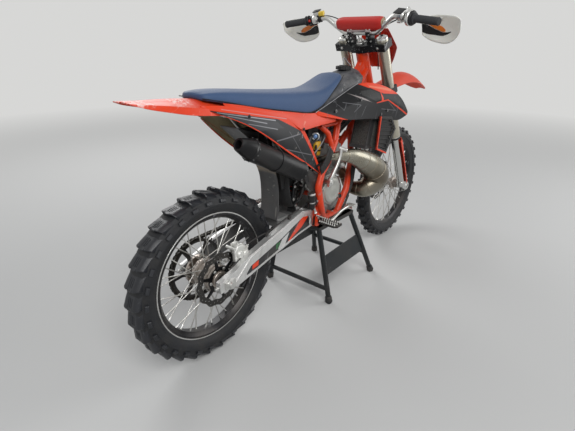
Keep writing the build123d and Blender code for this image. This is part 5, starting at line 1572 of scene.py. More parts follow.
def dress_brakes():
    y = -62
    body = Shape()
    body.slab([(62, 398), (92, 388), (128, 398), (138, 416), (128, 444), (104, 462), (78, 462), (60, 440)],
        y - 26, y - 9)
    body.slab([(70, 430), (100, 418), (130, 424), (128, 446), (104, 462), (78, 462)], y + 7, y + 18)
    body.slab([(76, 440), (126, 428), (128, 446), (104, 466), (80, 466)], y - 20, y + 14)
    body.softened(4.5, 3)
    for x, z in ((88, 424), (116, 418)):
        body.lathed((x, y - 25, z), (0, -1, 0), [(0, 15), (5, 15), (8, 12), (9, 6)], 28)
    body.lathed((64, y - 24, 452), (0, 1, 0), [(0, 6.5), (46, 6.5)], 16)
    body.bolted([(122, y - 26, 446)], (0, -1, 0), 6, 6, 2)
    body.lathed((84, y - 16, 464), (0, 0, 1), [(0, 4), (8, 4), (9, 3)], 12)
    arm = Shape().slab([(-18, 330), (24, 326), (66, 372), (108, 396), (100, 412), (56, 400), (10, 366),
        (-10, 366)], -92, -84).softened(3)
    body.put(arm.painted(1))
    chassis.piece("rear_caliper_cast", body, [caliper_alloy, dark_alloy], "rear_brake",
        sharp=30)
    rear_hose = [(562, -112, 508), (530, -104, 516), (490, -101, 517), (436, -100, 509), (370, -99, 496),
        (300, -97, 480), (232, -94, 466), (176, -88, 462), (124, -80, 446)]
    chassis.cable("rear_brake_hose_line", [rear_hose], 3.0, soft_rubber, "rear_brake_hose")
    clips = Shape()
    for x, out, z in ((490, 101, 512), (370, 99, 491), (232, 94, 461)):
        clips.slab([(x - 7, z - 10), (x + 7, z - 8), (x + 7, z + 9), (x - 7, z + 9)], -out - 5, -out + 5)
    chassis.piece("hose_holders", clips.softened(1.5), black_plastic)
    pump = Shape()
    pump.slab([(486, 512), (504, 506), (534, 516), (534, 540), (508, 552), (486, 544)], -133, -120)
    pump.softened(3)
    pump.lathed((492, -128, 500), (-0.084, 0, 1), [(0, 11.6), (6, 13), (44, 13), (50, 15.6), (66, 16.2)], 32)
    pump.lathed((486.4, -128, 566), (-0.084, 0, 1), [(0, 16.8), (5, 17), (7, 15), (7.6, 6)], 32, 1)
    pump.ringed((490, -128, 528), (-0.084, 0, 1), [(0, 13), (0, 14.6), (4, 14.6), (4, 13)], 32, 1)
    for x, z in ((492, 520), (526, 528)):
        pump.bolted([(x, -133, z)], (0, -1, 0), 4.4, 4, 2, 1)
    pump.lathed((500, -130, 508), (0.5, 0, -1), [(0, 5), (34, 5), (36, 7), (40, 7)], 16, 1)
    chassis.piece("rear_brake_pump", pump, [black_plastic, bright_alloy], edge=0.6)


COIL_R = 29.5


def dress_shock():
    low, high = Vector((478, -24, 474)), Vector((606, -24, 792))
    run = high - low
    turns, start, stop, count = 7.0, 0.2, 0.712, 113
    way = run.normalized()
    side = way.cross(Vector((0, 1, 0))).normalized()
    other = way.cross(side)
    coil = []
    for i in range(count):
        t = i / (count - 1)
        angle = 2 * pi * turns * t
        around = (side * cos(angle) + other * sin(angle)) * COIL_R
        coil.append(low + run * (start + (stop - start) * t) + around)
    chassis.cable("shock_coil", [coil], 5.2, black_steel, "shock_spring", 5, 4)
    chassis.rounded_solid("shock_body", shock_dark, 2.0)
    cap = [(0, 24.6), (4, 25), (14, 25), (18, 21), (20, 9)]
    parts = Shape().lathed((673, -38, 806), (24, 0, 80), cap, 32, 3)
    collar = [(-14, 11), (-14, 17), (-2, 18.5), (3, 18), (4, 15), (2, 11)]
    parts.ringed((604, -54, 788), (-0.75, -0.62, 0.2), collar, 36, 1)
    parts.lathed((604, -54, 788), (-0.75, -0.62, 0.2), [(-12, 10.5), (2, 10), (5, 8.5), (5.4, 4)], 28, 2)
    parts.lathed((626, -42, 700), (0.06, 0, 1), [(0, 19), (4, 21.5), (58, 21.5), (62, 19)], 36, 0)
    parts.ringed((626, -42, 700), (0.06, 0, 1), [(20, 21.4), (20, 23), (26, 23), (26, 21.4)], 36, 3)
    finishes = [spring_yellow, bright_alloy, blue_anodised, anodised_black]
    chassis.piece("shock_reservoir", parts, finishes, edge=0.6)


def dress_engine_bay():
    """The rubber flap before the shock, covers by the frame with a dark plate behind them that stands in for
    shade, and the hoses and boxes under the tank.
    """
    rows = []
    for x, z, half in ((394, 676, 66), (389, 648, 72), (391, 604, 74), (402, 562, 72), (420, 526, 66),
            (446, 500, 58)):
        rows.append([(x + 10 * (y / 70) ** 2 - (3 if abs(y) in (14, 44) else 0), y, z) for y in (-half, -58,
            -44, -30, -14, 0, 14, 30, 44, 58, half)])
    chassis.piece("shock_flap", Shape().sheet(rows), soft_rubber, rounds=1, wall=3)
    covers = Shape()
    outline = [(425, 706), (470, 682), (533, 643), (529, 602), (522, 562), (496, 574), (460, 604), (432, 655)]
    for side in (1, -1):
        covers.slab(outline, side * 121, side * 126)
        covers.slab([(452, 676), (516, 640), (514, 606), (462, 628)], side * 125, side * 128)
    # A black plate across the middle of the bay: a dark sheet standing in for the shade among the parts
    # behind the flap.
    covers.slab([(396, 520), (392, 600), (420, 664), (560, 640), (584, 560), (540, 492), (440, 486)], 30, 34)
    chassis.piece("lower_covers_and_shade_plate", covers.softened(1.6), black_plastic)
    links = Shape()
    links.slab([(452, 500), (470, 496), (520, 560), (510, 572), (480, 560)], -60, -50)
    links.slab([(500, 590), (560, 596), (566, 610), (506, 612)], -96, -88)
    links.slab([(420, 540), (436, 536), (446, 610), (430, 614)], -74, -66)
    links.softened(2)
    links.bolted([(462, -60, 506), (506, -60, 560), (510, -96, 602), (556, -96, 603), (430, -74, 548),
        (438, -74, 604), (478, -60, 532)], (0, -1, 0), 4.6, 4, 2, 1)
    chassis.piece("linkage_and_brackets", links, [black_steel, bright_alloy], edge=0.5)
    boxes = Shape()
    boxes.slab([(566, 838), (566, 792), (612, 784), (640, 800), (640, 846), (604, 862)], -44, 34)
    boxes.slab([(650, 812), (650, 852), (742, 842), (752, 806), (724, 792)], -52, -16)
    boxes.slab([(664, 806), (664, 848), (748, 838), (752, 806)], 14, 50)
    boxes.slab([(774, 812), (774, 862), (846, 884), (866, 862), (842, 826)], -62, 62)
    boxes.softened(4, 2)
    boxes.bolted([(668, -53, 838), (736, -53, 812), (790, -63, 838)], (0, -1, 0), 3.6, 3, 2, 1)
    chassis.piece("wiring_boxes", boxes, [black_plastic, plain_steel])
    loom = [
        [(540, -58, 740), (580, -64, 770), (630, -60, 790), (690, -62, 800), (760, -66, 796), (830, -64, 818),
            (880, -54, 850)],
        [(520, 40, 650), (570, 52, 668), (620, 56, 706), (660, 52, 752), (720, 46, 786), (800, 44, 806),
            (870, 36, 846)],
        [(596, -70, 560), (606, -84, 600), (640, -88, 640), (676, -82, 690), (700, -70, 744),
            (720, -60, 792)],
        [(472, -66, 520), (486, -78, 566), (520, -84, 610), (560, -78, 650), (590, -70, 700),
            (600, -62, 752)],
        [(450, -52, 506), (462, -84, 540), (470, -92, 590), (500, -96, 640), (520, -92, 700)],
        [(640, 60, 560), (640, 84, 600), (664, 88, 650), (690, 78, 700), (720, 66, 750), (760, 56, 800)],
    ]
    chassis.cable("loom_and_breathers", loom, 4.6, soft_rubber)
    thin = [
        [(530, -70, 700), (566, -84, 728), (620, -80, 760), (664, -70, 790), (700, -58, 830)],
        [(690, -56, 640), (676, -84, 676), (690, -88, 716), (730, -76, 752), (780, -60, 790),
            (830, -50, 840)],
        [(446, -60, 610), (470, -88, 640), (500, -94, 660), (540, -92, 690)],
    ]
    chassis.cable("thin_cables", thin, 2.4, grey_hose)


def dress_stand():
    chassis.rounded_solid("paddock_stand", stand_paint, 1.0, 40)
    mat = Shape()
    for i in range(9):
        x = 576 + i * 31
        mat.slab([(x, 384.2), (x + 18, 384.2), (x + 16, 386.6), (x + 2, 386.6)], -104, 104)
    lip = Shape().ringed_slab([(553, -129), (849, -129), (849, 129), (553, 129)],
        [(556, -126), (846, -126), (846, 126), (556, 126)], 370, 385)
    mat.put(lip, LAID_FLAT)
    boot = Shape().turned([(0, 17), (3, 18), (26, 16), (30, 14)], 24)
    lifted = 7.2
    for front in (1, -1):
        for side in (1, -1):
            foot = Vector((772 + front * 204, side * 192, 0))
            way = Vector((701 + front * 136, side * 118, 371)) - foot
            mat.put(boot, facing(foot + way.normalized() * lifted, way))
    chassis.piece("stand_rubbers", mat, soft_rubber, edge=0.5)


def dress_radiators():
    core = Shape()
    tanks = Shape()
    for side in (1, -1):
        a, b, c, d = (888, 708), (926, 703), (985, 905), (948, 912)
        core.slab([a, b, c, d], side * 70, side * 144)
        fins = 34
        for i in range(fins):
            t = (i + 0.5) / fins
            x0, z0 = a[0] + (d[0] - a[0]) * t, a[1] + (d[1] - a[1]) * t
            x1, z1 = b[0] + (c[0] - b[0]) * t, b[1] + (c[1] - b[1]) * t
            core.slab([(x0 - 2, z0), (x1 + 2, z1), (x1 + 2, z1 + 1.6), (x0 - 2, z0 + 1.6)], side * 66,
                side * 147)
        for i in range(5):
            y = side * (72 + i * 17)
            core.slab([(a[0] - 1.6, a[1]), (a[0] + 3, a[1]), (d[0] + 3, d[1]), (d[0] - 1.6, d[1])], y - 0.8,
                y + 0.8)
        core.slab([(926, 700), (1000, 674), (1014, 836), (972, 880)], side * 146, side * 148.5)
        for i in range(7):
            low, high = (930 + 11 * i, 702 - 4 * i), (974 + 6 * i, 872 - 7 * i)
            core.slab([low, high, (high[0] + 2.5, high[1] - 1), (low[0] + 2.5, low[1] - 1)], side * 147,
                side * 151)
        tanks.slab([(880, 696), (930, 690), (936, 706), (886, 712)], side * 60, side * 152)
        tanks.slab([(940, 905), (990, 898), (994, 918), (946, 926)], side * 60, side * 152)
        for out in (146, 63):
            tanks.slab([(884, 704), (930, 699), (990, 908), (944, 914)], side * out, side * (out + 3))
        tanks.lathed((952, side * 70, 716), (6, -side * 44, 0), [(0, 7), (40, 7), (44, 9)], 18)
        tanks.lathed((962, side * 146, 856), (0, side, 0), [(0, 7), (36, 7)], 18)
    tanks.softened(3)
    chassis.piece("radiator_cores", core, core_alloy, "radiators")
    chassis.piece("radiator_tanks", tanks, dark_alloy)
    guard = Shape()
    edge = Shape()
    corners = [(930, 690), (1035, 650), (1122, 765), (1066, 832), (946, 848)]
    inner = [(944, 702), (1030, 668), (1104, 768), (1058, 820), (958, 834)]
    for side in (1, -1):
        guard.ringed_slab(corners, inner, side * 181, side * 187)
        guard.slab([(938, 696), (1032, 660), (1114, 766), (1062, 826), (952, 842)], side * 174, side * 176.5)
        for i in range(8):
            t = (i + 0.3) / 8
            x0, z0 = 938 + 14 * t, 700 + 140 * t
            x1, z1 = 1033 + 80 * min(1, t * 1.6), 664 + 104 * min(1, t * 1.6)
            if t > 0.62:
                x1, z1 = 1113 - 50 * (t - 0.62) / 0.38, 768 + 56 * (t - 0.62) / 0.38
            guard.slab([(x0, z0), (x1, z1 + 2), (x1, z1 + 7), (x0, z0 + 5)], side * 176, side * 184)
        for line in ([(930, 690), (938, 693), (954, 846), (946, 848)],
                [(930, 690), (1035, 650), (1037, 657), (934, 697)]):
            edge.slab(line, side * 180, side * 189)
    chassis.piece("radiator_louvres", guard.softened(1.2, 1), black_plastic, "louvres")
    chassis.piece("louvre_edges", edge.softened(1.2, 1), orange_plastic)


dress_exhaust()
dress_engine()
dress_controls_at_the_feet()
dress_frame()
dress_swingarm()
dress_brakes()
dress_shock()
dress_engine_bay()
dress_stand()
dress_radiators()


# Fork, bar and controls: drawings in the fork's own lines, z up along it

BAR_KNEE = Vector((-29, 180, 1051))
BAR_TIP = Vector((-76, 403, 1042))
BAR_RUN = (BAR_TIP - BAR_KNEE).normalized()


def on_bar(out, ahead=0.0, up=0.0, side=1):
    """A point by the bar's straight end, at a distance out from the middle."""
    spot = BAR_KNEE + (BAR_TIP - BAR_KNEE) * ((out - 180) / 223)
    return Vector((spot.x + ahead, side * spot.y, spot.z + up))


def bar_way(side):
    return Vector((BAR_RUN.x, side * BAR_RUN.y, BAR_RUN.z))


def at_bar(out, side, ahead=0.0, up=0.0):
    """Stands a shape's Y axis along the bar's straight end."""
    return facing(on_bar(out, ahead, up, side), bar_way(side))


def bar_runs(spots):
    """The same run beside both ends of the bar, its spots given as (out, ahead, up, radius)."""
    return [[(on_bar(out, ahead, up, side), radius) for out, ahead, up, radius in spots] for side in (1, -1)]


def upright(x, y, z):
    """Stands a turned form on end, its axis along the fork."""
    return facing((x, y, z), (0, 0, 1))


def dress_fork():
    tubes = Shape()
    legs = Shape()
    tube = Shape().spun(
        [(13, 25), (13, 28.4), (16, 29), (60, 29), (64, 28.2), (258, 28.2), (266, 28.8), (372, 28.8),
         (378, 28.2), (566, 28.2), (569, 27.6), (569, 25)], 64,
    )
    wiper = Shape().spun([(0, 24.3), (-1, 26.5), (0, 28.6), (11, 28.8), (14, 28), (14, 25)], 64)
    band = Shape().spun([(14, 29.2), (14, 29.8), (17, 29.8), (17, 29.2)], 64)
    cap = Shape().turned([(563, 26.6), (574, 26.6), (576, 25.4), (577, 17), (578, 15.6)], 48)
    hexagon = Shape().nut(15, 6.5)
    screw = Shape().turned([(0, 6.5), (3, 6.5), (3.4, 5.4), (2.4, 4.8)], 20)
    slider = Shape().turned([(0, 24), (352, 24)], 64)
    for side in (1, -1):
        foot = upright(FORK_X, side * LEG_OUT, 375)
        for part, paint, rise in ((tube, 0, 0), (wiper, 1, 0), (band, 2, 0), (cap, 2, 0), (hexagon, 2, 578),
                (screw, 3, 584)):
            tubes.put(part.painted(paint), foot @ move(0, rise, 0))
        legs.put(slider, upright(FORK_X, side * LEG_OUT, 26))
    fork.piece("fork_outer_tubes", tubes, [fork_alloy, soft_rubber, bright_alloy, anodised_black],
        "fork_tubes")
    feet = Shape()
    for side in (1, -1):
        low, high = side * (LEG_OUT - 26), side * (LEG_OUT + 24)
        casting = Shape().slab(
            [(FORK_X - 22, 20), (FORK_X - 23, 46), (FORK_X + 24, 46), (FORK_X + 26, 20), (26, 12),
             (24, -12), (6, -25), (-16, -22), (-32, -4)], low + side * 4, high - side * 2,
        ).softened(5, 3)
        feet.put(casting)
        boss = Shape().spun([(-25, 13.4), (-25, 22), (-22, 24), (22, 24), (25, 22), (25, 13.4)], 40)
        feet.put(boss, move(0, side * (LEG_OUT - 1), 0))
        feet.lathed((FORK_X, side * LEG_OUT, 26), (0, 0, 1),
            [(0, 27), (4, 29.5), (26, 29), (34, 26.5), (36, 24.5)], 48)
        for x in (2, -18):
            feet.bolted([(x, side * (LEG_OUT + 10), -22)], (0.15, 0, -1), 4.4, 5, 1.2, 1)
        feet.lathed((FORK_X, side * LEG_OUT, -18), (0, 0, -1), [(0, 7), (4, 7), (6, 5)], 18, 1)
    legs.put(feet)
    fork.piece("fork_sliders", legs, [polished_tube, bright_alloy], "fork_legs")
    axle = Shape().spun([(-131, 8.2), (-131, 11), (-129, 13), (110, 13), (110, 8.2)], 40)
    axle.put(Shape().spun([(-6, 8.2), (-6, 14), (-4, 20), (2, 20), (2, 8.2)], 6), move(0, 128, 0))
    for side in (1, -1):
        axle.put(Shape().spun([(-15, 13.2), (-15, 19), (-13, 20), (4, 20), (5, 17), (5, 13.2)], 36),
            move(0, side * 79.5 - side * 5, 0))
    fork.piece("front_axle_turned", axle, plain_steel, "front_axle")


def dress_fork_guards():
    shell = Shape()
    rows = []
    for z, radius in ((44, 37.5), (60, 38.5), (110, 38.5), (220, 38.5), (310, 39), (345, 38.8), (361, 36)):
        low, high = (-44, 98) if z > 300 else (-44, 86)
        rows.append(
            [(FORK_X + radius * cos(radians(a)), LEG_OUT + radius * sin(radians(a)), z)
             for a in [low + (high - low) * i / 12 for i in range(13)]]
        )
    shell.sheet(rows)
    bolts = Shape()
    for z in (58, 84, 322):
        bolts.bolted([(FORK_X + 27.5, LEG_OUT + 27.5, z)], (1, 1, 0), 4.4, 4, 2.6)
    fork.piece("fork_guard_shells", shell.mirrored(), orange_plastic, "fork_guards",
        wall=2.6, edge=0.6)
    fork.piece("fork_guard_bolts", bolts.mirrored(), plain_steel)


def dress_clamps():
    front_end.rounded_solid("triple_clamps", clamp_black, 4.0, 40)
    top = 933
    bits = Shape()
    bits.lathed((AXIS_X, 0, top + 0.2), (0, 0, 1), [(0, 21), (4, 21), (6, 19), (12, 19), (14, 16), (14.6, 8)],
        8)
    bits.lathed((AXIS_X, 0, top + 14), (0, 0, 1), [(0, 13), (7, 12), (9, 9)], 24)
    for side in (1, -1):
        bits.bolted([(FORK_X - 41, side * (LEG_OUT - 8), z) for z in (668, 916, 682)], (-1, 0, 0), 4.6, 6, 2)
        bits.bolted([(x, side * y, 996) for x in (-48, -22) for y in (42, 58)], (0, 0, 1), 4.2, 5, 1.6)
    for side in (1, -1):
        ends = ((40, 944), (60, 944), (44, 962), (56, 976))
        bits.bolted([(-54, side * y, z) for y, z in ends], (-1, 0, 0), 4.2, 3, 1.6)
        bits.bolted([(-38, side * y, top) for y in (20, 84, 112)], (0, 0, 1), 4.4, 3, 1.6)
    fork.piece("clamp_bolts", bits, bright_alloy)
    mounts = Shape()
    for side in (1, -1):
        arch_line = [(-55, 977), (-53, 989), (-46, 996), (-24, 996), (-17, 989), (-15, 977)]
        hole = [(-47.2, 977), (-44, 985), (-38, 989), (-32, 989), (-26, 985), (-22.8, 977)]
        mounts.slab(arch_line + hole[::-1], side * 37, side * 63)
    mounts.slab([(-49, 986), (-49, 997), (-21, 997), (-21, 986)], -38, 38)
    mounts.softened(2.0, 2)
    fork.piece("bar_clamp_caps", mounts, clamp_pink)


PAD_X, PAD_Z, PAD_R = -22, 1016, 28.2


def pad_rows():
    """The bar pad's rows of points from end to end, each a square with round corners."""
    rows = []
    for i in range(23):
        y = -121 + 11 * i
        swell = 0.86 + 0.14 * min(1.0, (121 - abs(y)) / 16)
        row = []
        for k in range(28):
            angle = 2 * pi * k / 28
            c, s = cos(angle), sin(angle)
            reach = PAD_R * swell / (abs(c) ** 3.4 + abs(s) ** 3.4) ** (1 / 3.4)
            row.append((PAD_X + reach * c * 0.94, y, PAD_Z + reach * s))
        rows.append(row)
    return rows


def dress_bar():
    pad = Shape().through(pad_rows())
    cover = fork.piece("bar_pad_cover", pad, pad_red, "bar_pad", rounds=1)
    ends = Shape()
    for side in (1, -1):
        shrunk = [(PAD_X + (x - PAD_X) * 0.955, PAD_Z + (z - PAD_Z) * 0.955) for x, _, z in pad_rows()[0]]
        ends.through([[(x, side * y, z) for x, z in line]
                      for line, y in ((shrunk, 119.6), (circle(7, 28, PAD_X, PAD_Z), 118.5))])
    fork.piece("bar_pad_foam", ends, pad_foam)
    strap = Shape().slab([(-21, 986.6), (-7, 987), (-7, 985.4), (-21, 985)], -112, 112)
    fork.piece("bar_pad_closure", strap, soft_rubber, edge=0.4)
    lugs = Shape()
    for side in (1, -1):
        clamp_ring = Shape().spun([(-8, 11.4), (-8, 15), (8, 15), (8, 11.4)], 32)
        lugs.put(clamp_ring, facing((-29, side * 132, 1014), (0.12, side * 0.77, 0.62)))
        lugs.lathed((-26, side * 142, 1016), (0.1, -side, 0), [(0, 9), (20, 8), (24, 6)], 20)
    fork.piece("crossbar_clamps", lugs, bright_alloy)


def dress_grips():
    ribs = [(0, 11.3), (0, 22.4), (3, 23), (6, 22.4), (7.5, 17)]
    for i in range(17):
        y = 12 + i * 6
        ribs += [(y, 15.2), (y + 0.8, 16.3), (y + 3.2, 16.3), (y + 4, 15.2)]
    ribs += [(114, 16.4), (120, 16.9), (123.6, 15), (124, 9)]
    grip = Shape().spun(ribs + [(124, 0.02), (118, 0.02), (118, 11.3)], 40)
    both = Shape()
    for side in (1, -1):
        both.put(grip, at_bar(285, side))
    fork.piece("grips_ribbed", both, grip_rubber, "grips")


def dress_controls():
    metal = Shape()
    dark = Shape()
    perch = Shape().spun([(-13, 11.4), (-13, 18), (-11, 19), (11, 19), (13, 18), (13, 11.4)], 40)
    for side in (1, -1):
        metal.put(perch, at_bar(239, side))
        arm = Shape().slab([(8, -14), (30, -12), (46, -6), (46, 4), (30, 8), (8, 10)], -9, 9).softened(3)
        metal.put(arm, at_bar(238, side))
        metal.lathed(on_bar(240, 30, -6, side), (0, 0, 1), [(-11, 5.5), (-10, 8), (10, 8), (11, 5.5)], 20)
        for up in (9, -9):
            metal.bolted([on_bar(236, -16, up, side)], (-1, 0, 0), 3.4, 3)
    brake = Shape().slab([(6, 14), (44, 10), (46, 34), (8, 38)], -16, 22).softened(4, 3)
    metal.put(brake, at_bar(232, -1))
    clutch = Shape().slab([(6, 12), (40, 9), (42, 28), (8, 32)], -14, 18).softened(4, 3)
    metal.put(clutch, at_bar(232, 1))
    lid = Shape().slab([(5, 38.5), (47, 34.5), (47, 38.5), (6, 42)], -18, 24).softened(1.5)
    dark.put(lid, at_bar(232, -1))
    small_lid = Shape().slab([(5, 32.5), (43, 28.5), (43, 32), (6, 35.6)], -16, 20).softened(1.5)
    dark.put(small_lid, at_bar(232, 1))
    throttle = Shape().turned([(-14, 12), (-14, 21), (-11, 24), (9, 24), (13, 22), (13, 12)], 44)
    metal.put(throttle, at_bar(270, -1))
    metal.ringed(on_bar(270, side=-1), bar_way(-1),
        [(-13, 23), (-14, 30), (-10, 33), (0, 33), (3, 30), (3, 23)], 48)
    dark.ringed(on_bar(270, side=-1), bar_way(-1), [(4, 15), (4, 29), (8, 31), (13, 28), (16, 20), (17, 15)],
        48)
    metal.lathed(on_bar(266, 6, 16, -1), (0.5, 0.5, 0.7), [(0, 9), (16, 8), (26, 6.5), (30, 5)], 24)
    switch = Shape().slab([(-15, -15), (15, -15), (17, 12), (8, 18), (-12, 16)], -9, 9).softened(4, 3)
    dark.put(switch, at_bar(262, 1))
    dark.ringed(on_bar(284, side=1), bar_way(1), [(-14, 11.3), (-14, 22), (-10, 24), (-8, 22), (-8, 11.3)],
        36)
    dark.lathed(on_bar(262, -16, 4, 1), (-1, 0, 0.2), [(0, 6), (4, 6), (6, 4)], 18, 2)
    fork.piece("perches", metal, bright_alloy, "controls")
    fork.piece("pump_lids_and_switch", dark, [black_plastic, black_plastic, pad_red])
    map_switch = Shape().slab([(-9, 14), (14, 13), (16, 32), (-7, 34)], -14, 14).softened(4, 3)
    fork.piece("engine_map_switch", Shape().put(map_switch, at_bar(203, 1)), switch_yellow)
    blade = (
        (238, 26, -6, 6), (256, 42, -10, 6.5), (300, 46, -11, 5.2), (340, 48, -12, 5.2),
        (380, 50.5, -13, 5.6), (398, 52, -14, 7),
    )
    fork.pipe("lever_blades", bar_runs(blade), bright_alloy, around=5)


# The hand guard's shell: distance out, then ahead and up from the bar at its foot, middle and top
GUARD = (
    (283, (68, -104), (75, -70), (69, -38)),
    (300, (71, -118), (80, -69), (74, -27)),
    (322, (74, -128), (85, -67), (78, -18)),
    (348, (76, -134), (89, -65), (81, -13)),
    (376, (77, -136), (90, -62), (82, -9)),
    (405, (76, -133), (88, -58), (80, -7)),
    (428, (71, -122), (82, -54), (75, -6)),
    (448, (64, -104), (72, -48), (68, -7)),
    (464, (54, -80), (60, -42), (57, -10)),
    (475, (46, -58), (50, -35), (48, -14)),
)


def between(points, at):
    """A value read along straight lines between given points."""
    for (a, low), (b, high) in zip(points, points[1:]):
        if at <= b:
            return low + (high - low) * (at - a) / (b - a)
    return points[-1][1]


def guard_spot(out, t, push=0.0):
    """A point of the guard's shell, t from 0 at its foot to 1 at its top."""
    ahead, up = [], []
    for k in (1, 2, 3):
        ahead.append(between([(row[0], row[k][0]) for row in GUARD], out))
        up.append(between([(row[0], row[k][1]) for row in GUARD], out))
    bulge = ahead[1] * 2 - (ahead[0] + ahead[2]) / 2
    x = (1 - t) ** 2 * ahead[0] + 2 * t * (1 - t) * bulge + t * t * ahead[2]
    base = on_bar(min(out, 403))
    return (base.x + x - push, out, base.z + up[0] + (up[2] - up[0]) * t)


def guard_film(low_edge, high_edge, push):
    """A thin film behind the shell between two edges, each a row of (distance out, height)."""
    start, end = low_edge[0][0], low_edge[-1][0]
    rows = []
    for i in range(15):
        out = start + (end - start) * i / 14
        low, high = between(low_edge, out), between(high_edge, out)
        rows.append([guard_spot(out, low + (high - low) * k / 6, push) for k in range(7)])
    return Shape().sheet(rows)


def dress_hand_guards():
    rows = [[guard_spot(row[0], i / 8) for i in range(9)] for row in GUARD]
    shell = Shape().sheet(rows)
    stripe = guard_film(
        [(284, 0.76), (302, 0.69), (341, 0.485), (380, 0.385), (394, 0.4)],
        [(284, 0.8), (302, 0.79), (341, 0.68), (380, 0.57), (394, 0.47)], 3.5,
    )
    # A black film on the guard: its dark slot, with the lever's shadow painted in at its inner end.
    slot_and_lever_shadow = guard_film(
        [(284, 0.2), (302, 0.21), (341, 0.25), (380, 0.25), (421, 0.36)],
        [(284, 0.7), (302, 0.65), (341, 0.47), (380, 0.375), (421, 0.39)], 3.4,
    )
    fork.piece("hand_guard_stripes", stripe.mirrored(), stripe_orange, wall=0.4)
    fork.piece("hand_guard_slots_and_shadow", slot_and_lever_shadow.mirrored(), black_plastic, wall=0.4)
    fork.piece("hand_guard_shells", shell.mirrored(), guard_white, "hand_guards", rounds=1,
        wall=2.6)
    arm = ((214, 12, -4, 6), (228, 44, -12, 6), (252, 65, -28, 6), (288, 70, -44, 6), (330, 80, -52, 5))
    knobs = Shape()
    for side in (1, -1):
        knobs.ringed(on_bar(214, side=side), bar_way(side), [(-8, 11.4), (-8, 16), (8, 16), (8, 11.4)], 32)
        knobs.bolted([on_bar(300, 82, -46, side)], (1, 0, 0), 4.2, 4, 2)
    fork.pipe("hand_guard_arms", bar_runs(arm), black_plastic, around=4)
    fork.piece("hand_guard_clamps", knobs, black_plastic)


def dress_front_brake():
    body = Shape()
    body.slab([(-104, 60), (-70, 78), (-66, 118), (-86, 140), (-116, 132), (-132, 104), (-126, 76)], 74, 92)
    body.slab([(-100, 70), (-74, 86), (-72, 114), (-90, 130), (-114, 124), (-124, 100)], 42, 58)
    body.slab([(-124, 76), (-106, 60), (-98, 74), (-114, 92), (-122, 112), (-132, 104)], 56, 76)
    body.softened(4.5, 3)
    for x, z in ((-88, 112), (-108, 92)):
        body.lathed((x, 91, z), (0, 1, 0), [(0, 14), (4, 14), (7, 11), (8, 6)], 28)
    bracket = Shape().slab([(-44, 40), (-26, 34), (-26, 120), (-44, 126), (-84, 110), (-84, 96), (-50, 92)],
        86, 96)
    body.put(bracket.softened(3))
    body.bolted([(-36, 96, 112), (-36, 96, 54)], (0, 1, 0), 5, 5, 2)
    body.lathed((-88, 84, 138), (0, 0, 1), [(0, 7), (8, 7), (10, 5)], 18)
    fork.piece("front_caliper_cast", body, caliper_alloy, "front_brake", sharp=30)


def dress_bar_hoses():
    brake_hose = [
        (-17.4, -231, 1043.6), (-1.4, -193, 1026.6), (10, -128, 999), (20, -66, 963), (24, -2, 929),
        (22, 56, 879), (16, 76, 811), (14, 80, 741), (15, 82, 671), (8, 76, 601), (-12, 70, 531),
        (-30, 68, 450), (-46, 70, 370), (-66, 76, 300), (-82, 80, 220), (-88, 80, 142),
    ]
    fork.cable("front_brake_hose_line", [brake_hose], 3.0, soft_rubber, "front_brake_hose")
    routes = []
    for side in (1, -1):
        routes.append([
            (-26, side * 262, 1053.4), (-8, side * 214, 1057.4), (14, side * 158, 1033),
            (26, side * 104, 993), (34, side * 62, 943), (32, side * 46, 881), (22, side * 42, 821),
            (10, side * 40, 765),
        ])
    fork.cable("bar_cables", routes, 2.5, soft_rubber, "control_cables")
    clips = Shape()
    for x, y, z in ((15, 82, 671), (-46, 70, 370)):
        clips.ringed((x, y, z), (0, 0, 1), [(-6, 3), (-6, 5.4), (6, 5.4), (6, 3)], 16)
    fork.piece("hose_guides", clips, black_plastic)


dress_fork()
dress_fork_guards()
dress_clamps()
dress_bar()
dress_grips()
dress_controls()
dress_hand_guards()
dress_front_brake()
dress_bar_hoses()


def make_camera():
    """The photograph's viewpoint: level, heading, tilt and lens."""
    heading, tilt, roll = radians(39.2305), radians(-22.591), radians(0.339)
    ahead = Vector((cos(tilt) * cos(heading), cos(tilt) * sin(heading), sin(tilt)))
    right = ahead.cross(Vector((0, 0, 1))).normalized()
    up = right.cross(ahead)
    right, up = right * cos(roll) + up * sin(roll), up * cos(roll) - right * sin(roll)
    turn = Matrix((right, up, -ahead)).transposed().to_4x4()
    lens = bpy.data.cameras.new("camera")
    lens.sensor_width = 36
    lens.lens = 26.6
    lens.clip_end = 60
    camera = bpy.data.objects.new("camera", lens)
    camera.matrix_world = Matrix.Translation(at(-913.74, -1137.22, 1185.01)) @ turn
    bpy.context.scene.collection.objects.link(camera)
    bpy.context.scene.camera = camera


def seen_or_mirrored(pen):
    """1 where the camera sees a surface, straight, in metal or through glass."""
    path = pen.add("ShaderNodeLightPath")
    mirrored = pen.maths("MAXIMUM", path.outputs["Is Glossy Ray"], path.outputs["Is Transmission Ray"])
    return pen.maths("MAXIMUM", path.outputs["Is Camera Ray"], mirrored)


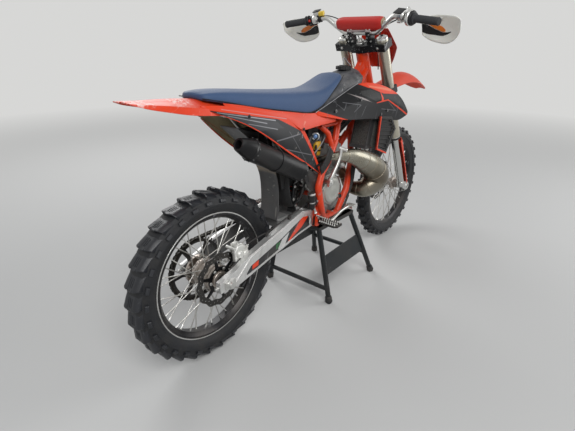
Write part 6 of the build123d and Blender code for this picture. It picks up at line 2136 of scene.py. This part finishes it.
def make_studio():
    """A pale floor that keeps the shadow, a pale world and three soft lamps."""
    bm = bmesh.new()
    bmesh.ops.create_grid(bm, x_segments=1, y_segments=1, size=30)
    mesh = bpy.data.meshes.new("studio_floor")
    bm.to_mesh(mesh)
    floor = bpy.data.objects.new("studio_floor", mesh)
    bpy.context.scene.collection.objects.link(floor)
    paper = Finish("studio_paper", (0.55, 0.55, 0.54), 0.9)
    pen = paper.pen
    away = pen.add("ShaderNodeVectorMath", operation="LENGTH")
    pen.join(paper.place, away.inputs[0])
    distant = pen.add("ShaderNodeEmission", Color=(0.68, 0.68, 0.67, 1))
    paling = pen.add("ShaderNodeMixShader")
    far = pen.step(away.outputs["Value"], 1.6, 7.0)
    pen.join(pen.maths("MULTIPLY", far, seen_or_mirrored(pen)), paling.inputs[0])
    pen.join(paper.shader.outputs[0], paling.inputs[1])
    pen.join(distant.outputs[0], paling.inputs[2])
    pen.join(paling.outputs[0], paper.result.inputs[0])
    mesh.materials.append(paper.done())

    world = bpy.data.worlds.new("studio_world")
    world.use_nodes = True
    bpy.context.scene.world = world
    pen = Nodes(world.node_tree)
    world.node_tree.nodes.clear()
    soft = pen.add("ShaderNodeBackground", Color=(0.93, 0.96, 1.0, 1), Strength=0.38)
    seen = pen.add("ShaderNodeBackground", Color=(0.68, 0.68, 0.67, 1), Strength=1.0)
    pick = pen.add("ShaderNodeMixShader")
    pen.join(seen_or_mirrored(pen), pick.inputs[0])
    pen.join(soft.outputs[0], pick.inputs[1])
    pen.join(seen.outputs[0], pick.inputs[2])
    result = pen.add("ShaderNodeOutputWorld")
    pen.join(pick.outputs[0], result.inputs[0])

    for name, spot, target, size, watts in (
        ("key_lamp", (-2.2, -2.6, 3.2), (0, 0, 0.5), 2.2, 98),
        ("fill_lamp", (2.6, -2.4, 1.9), (0.2, 0, 0.6), 2.6, 42),
        ("back_lamp", (0.8, 3.2, 2.8), (0, 0, 0.6), 2.4, 62),
    ):
        lamp = bpy.data.lights.new(name, "AREA")
        lamp.shape = "DISK"
        lamp.size = size
        lamp.energy = watts
        holder = bpy.data.objects.new(name, lamp)
        holder.location = spot
        holder.rotation_euler = (Vector(target) - Vector(spot)).to_track_quat("-Z", "Y").to_euler()
        bpy.context.scene.collection.objects.link(holder)


make_camera()
make_studio()
bpy.context.scene.view_settings.view_transform = "Standard"
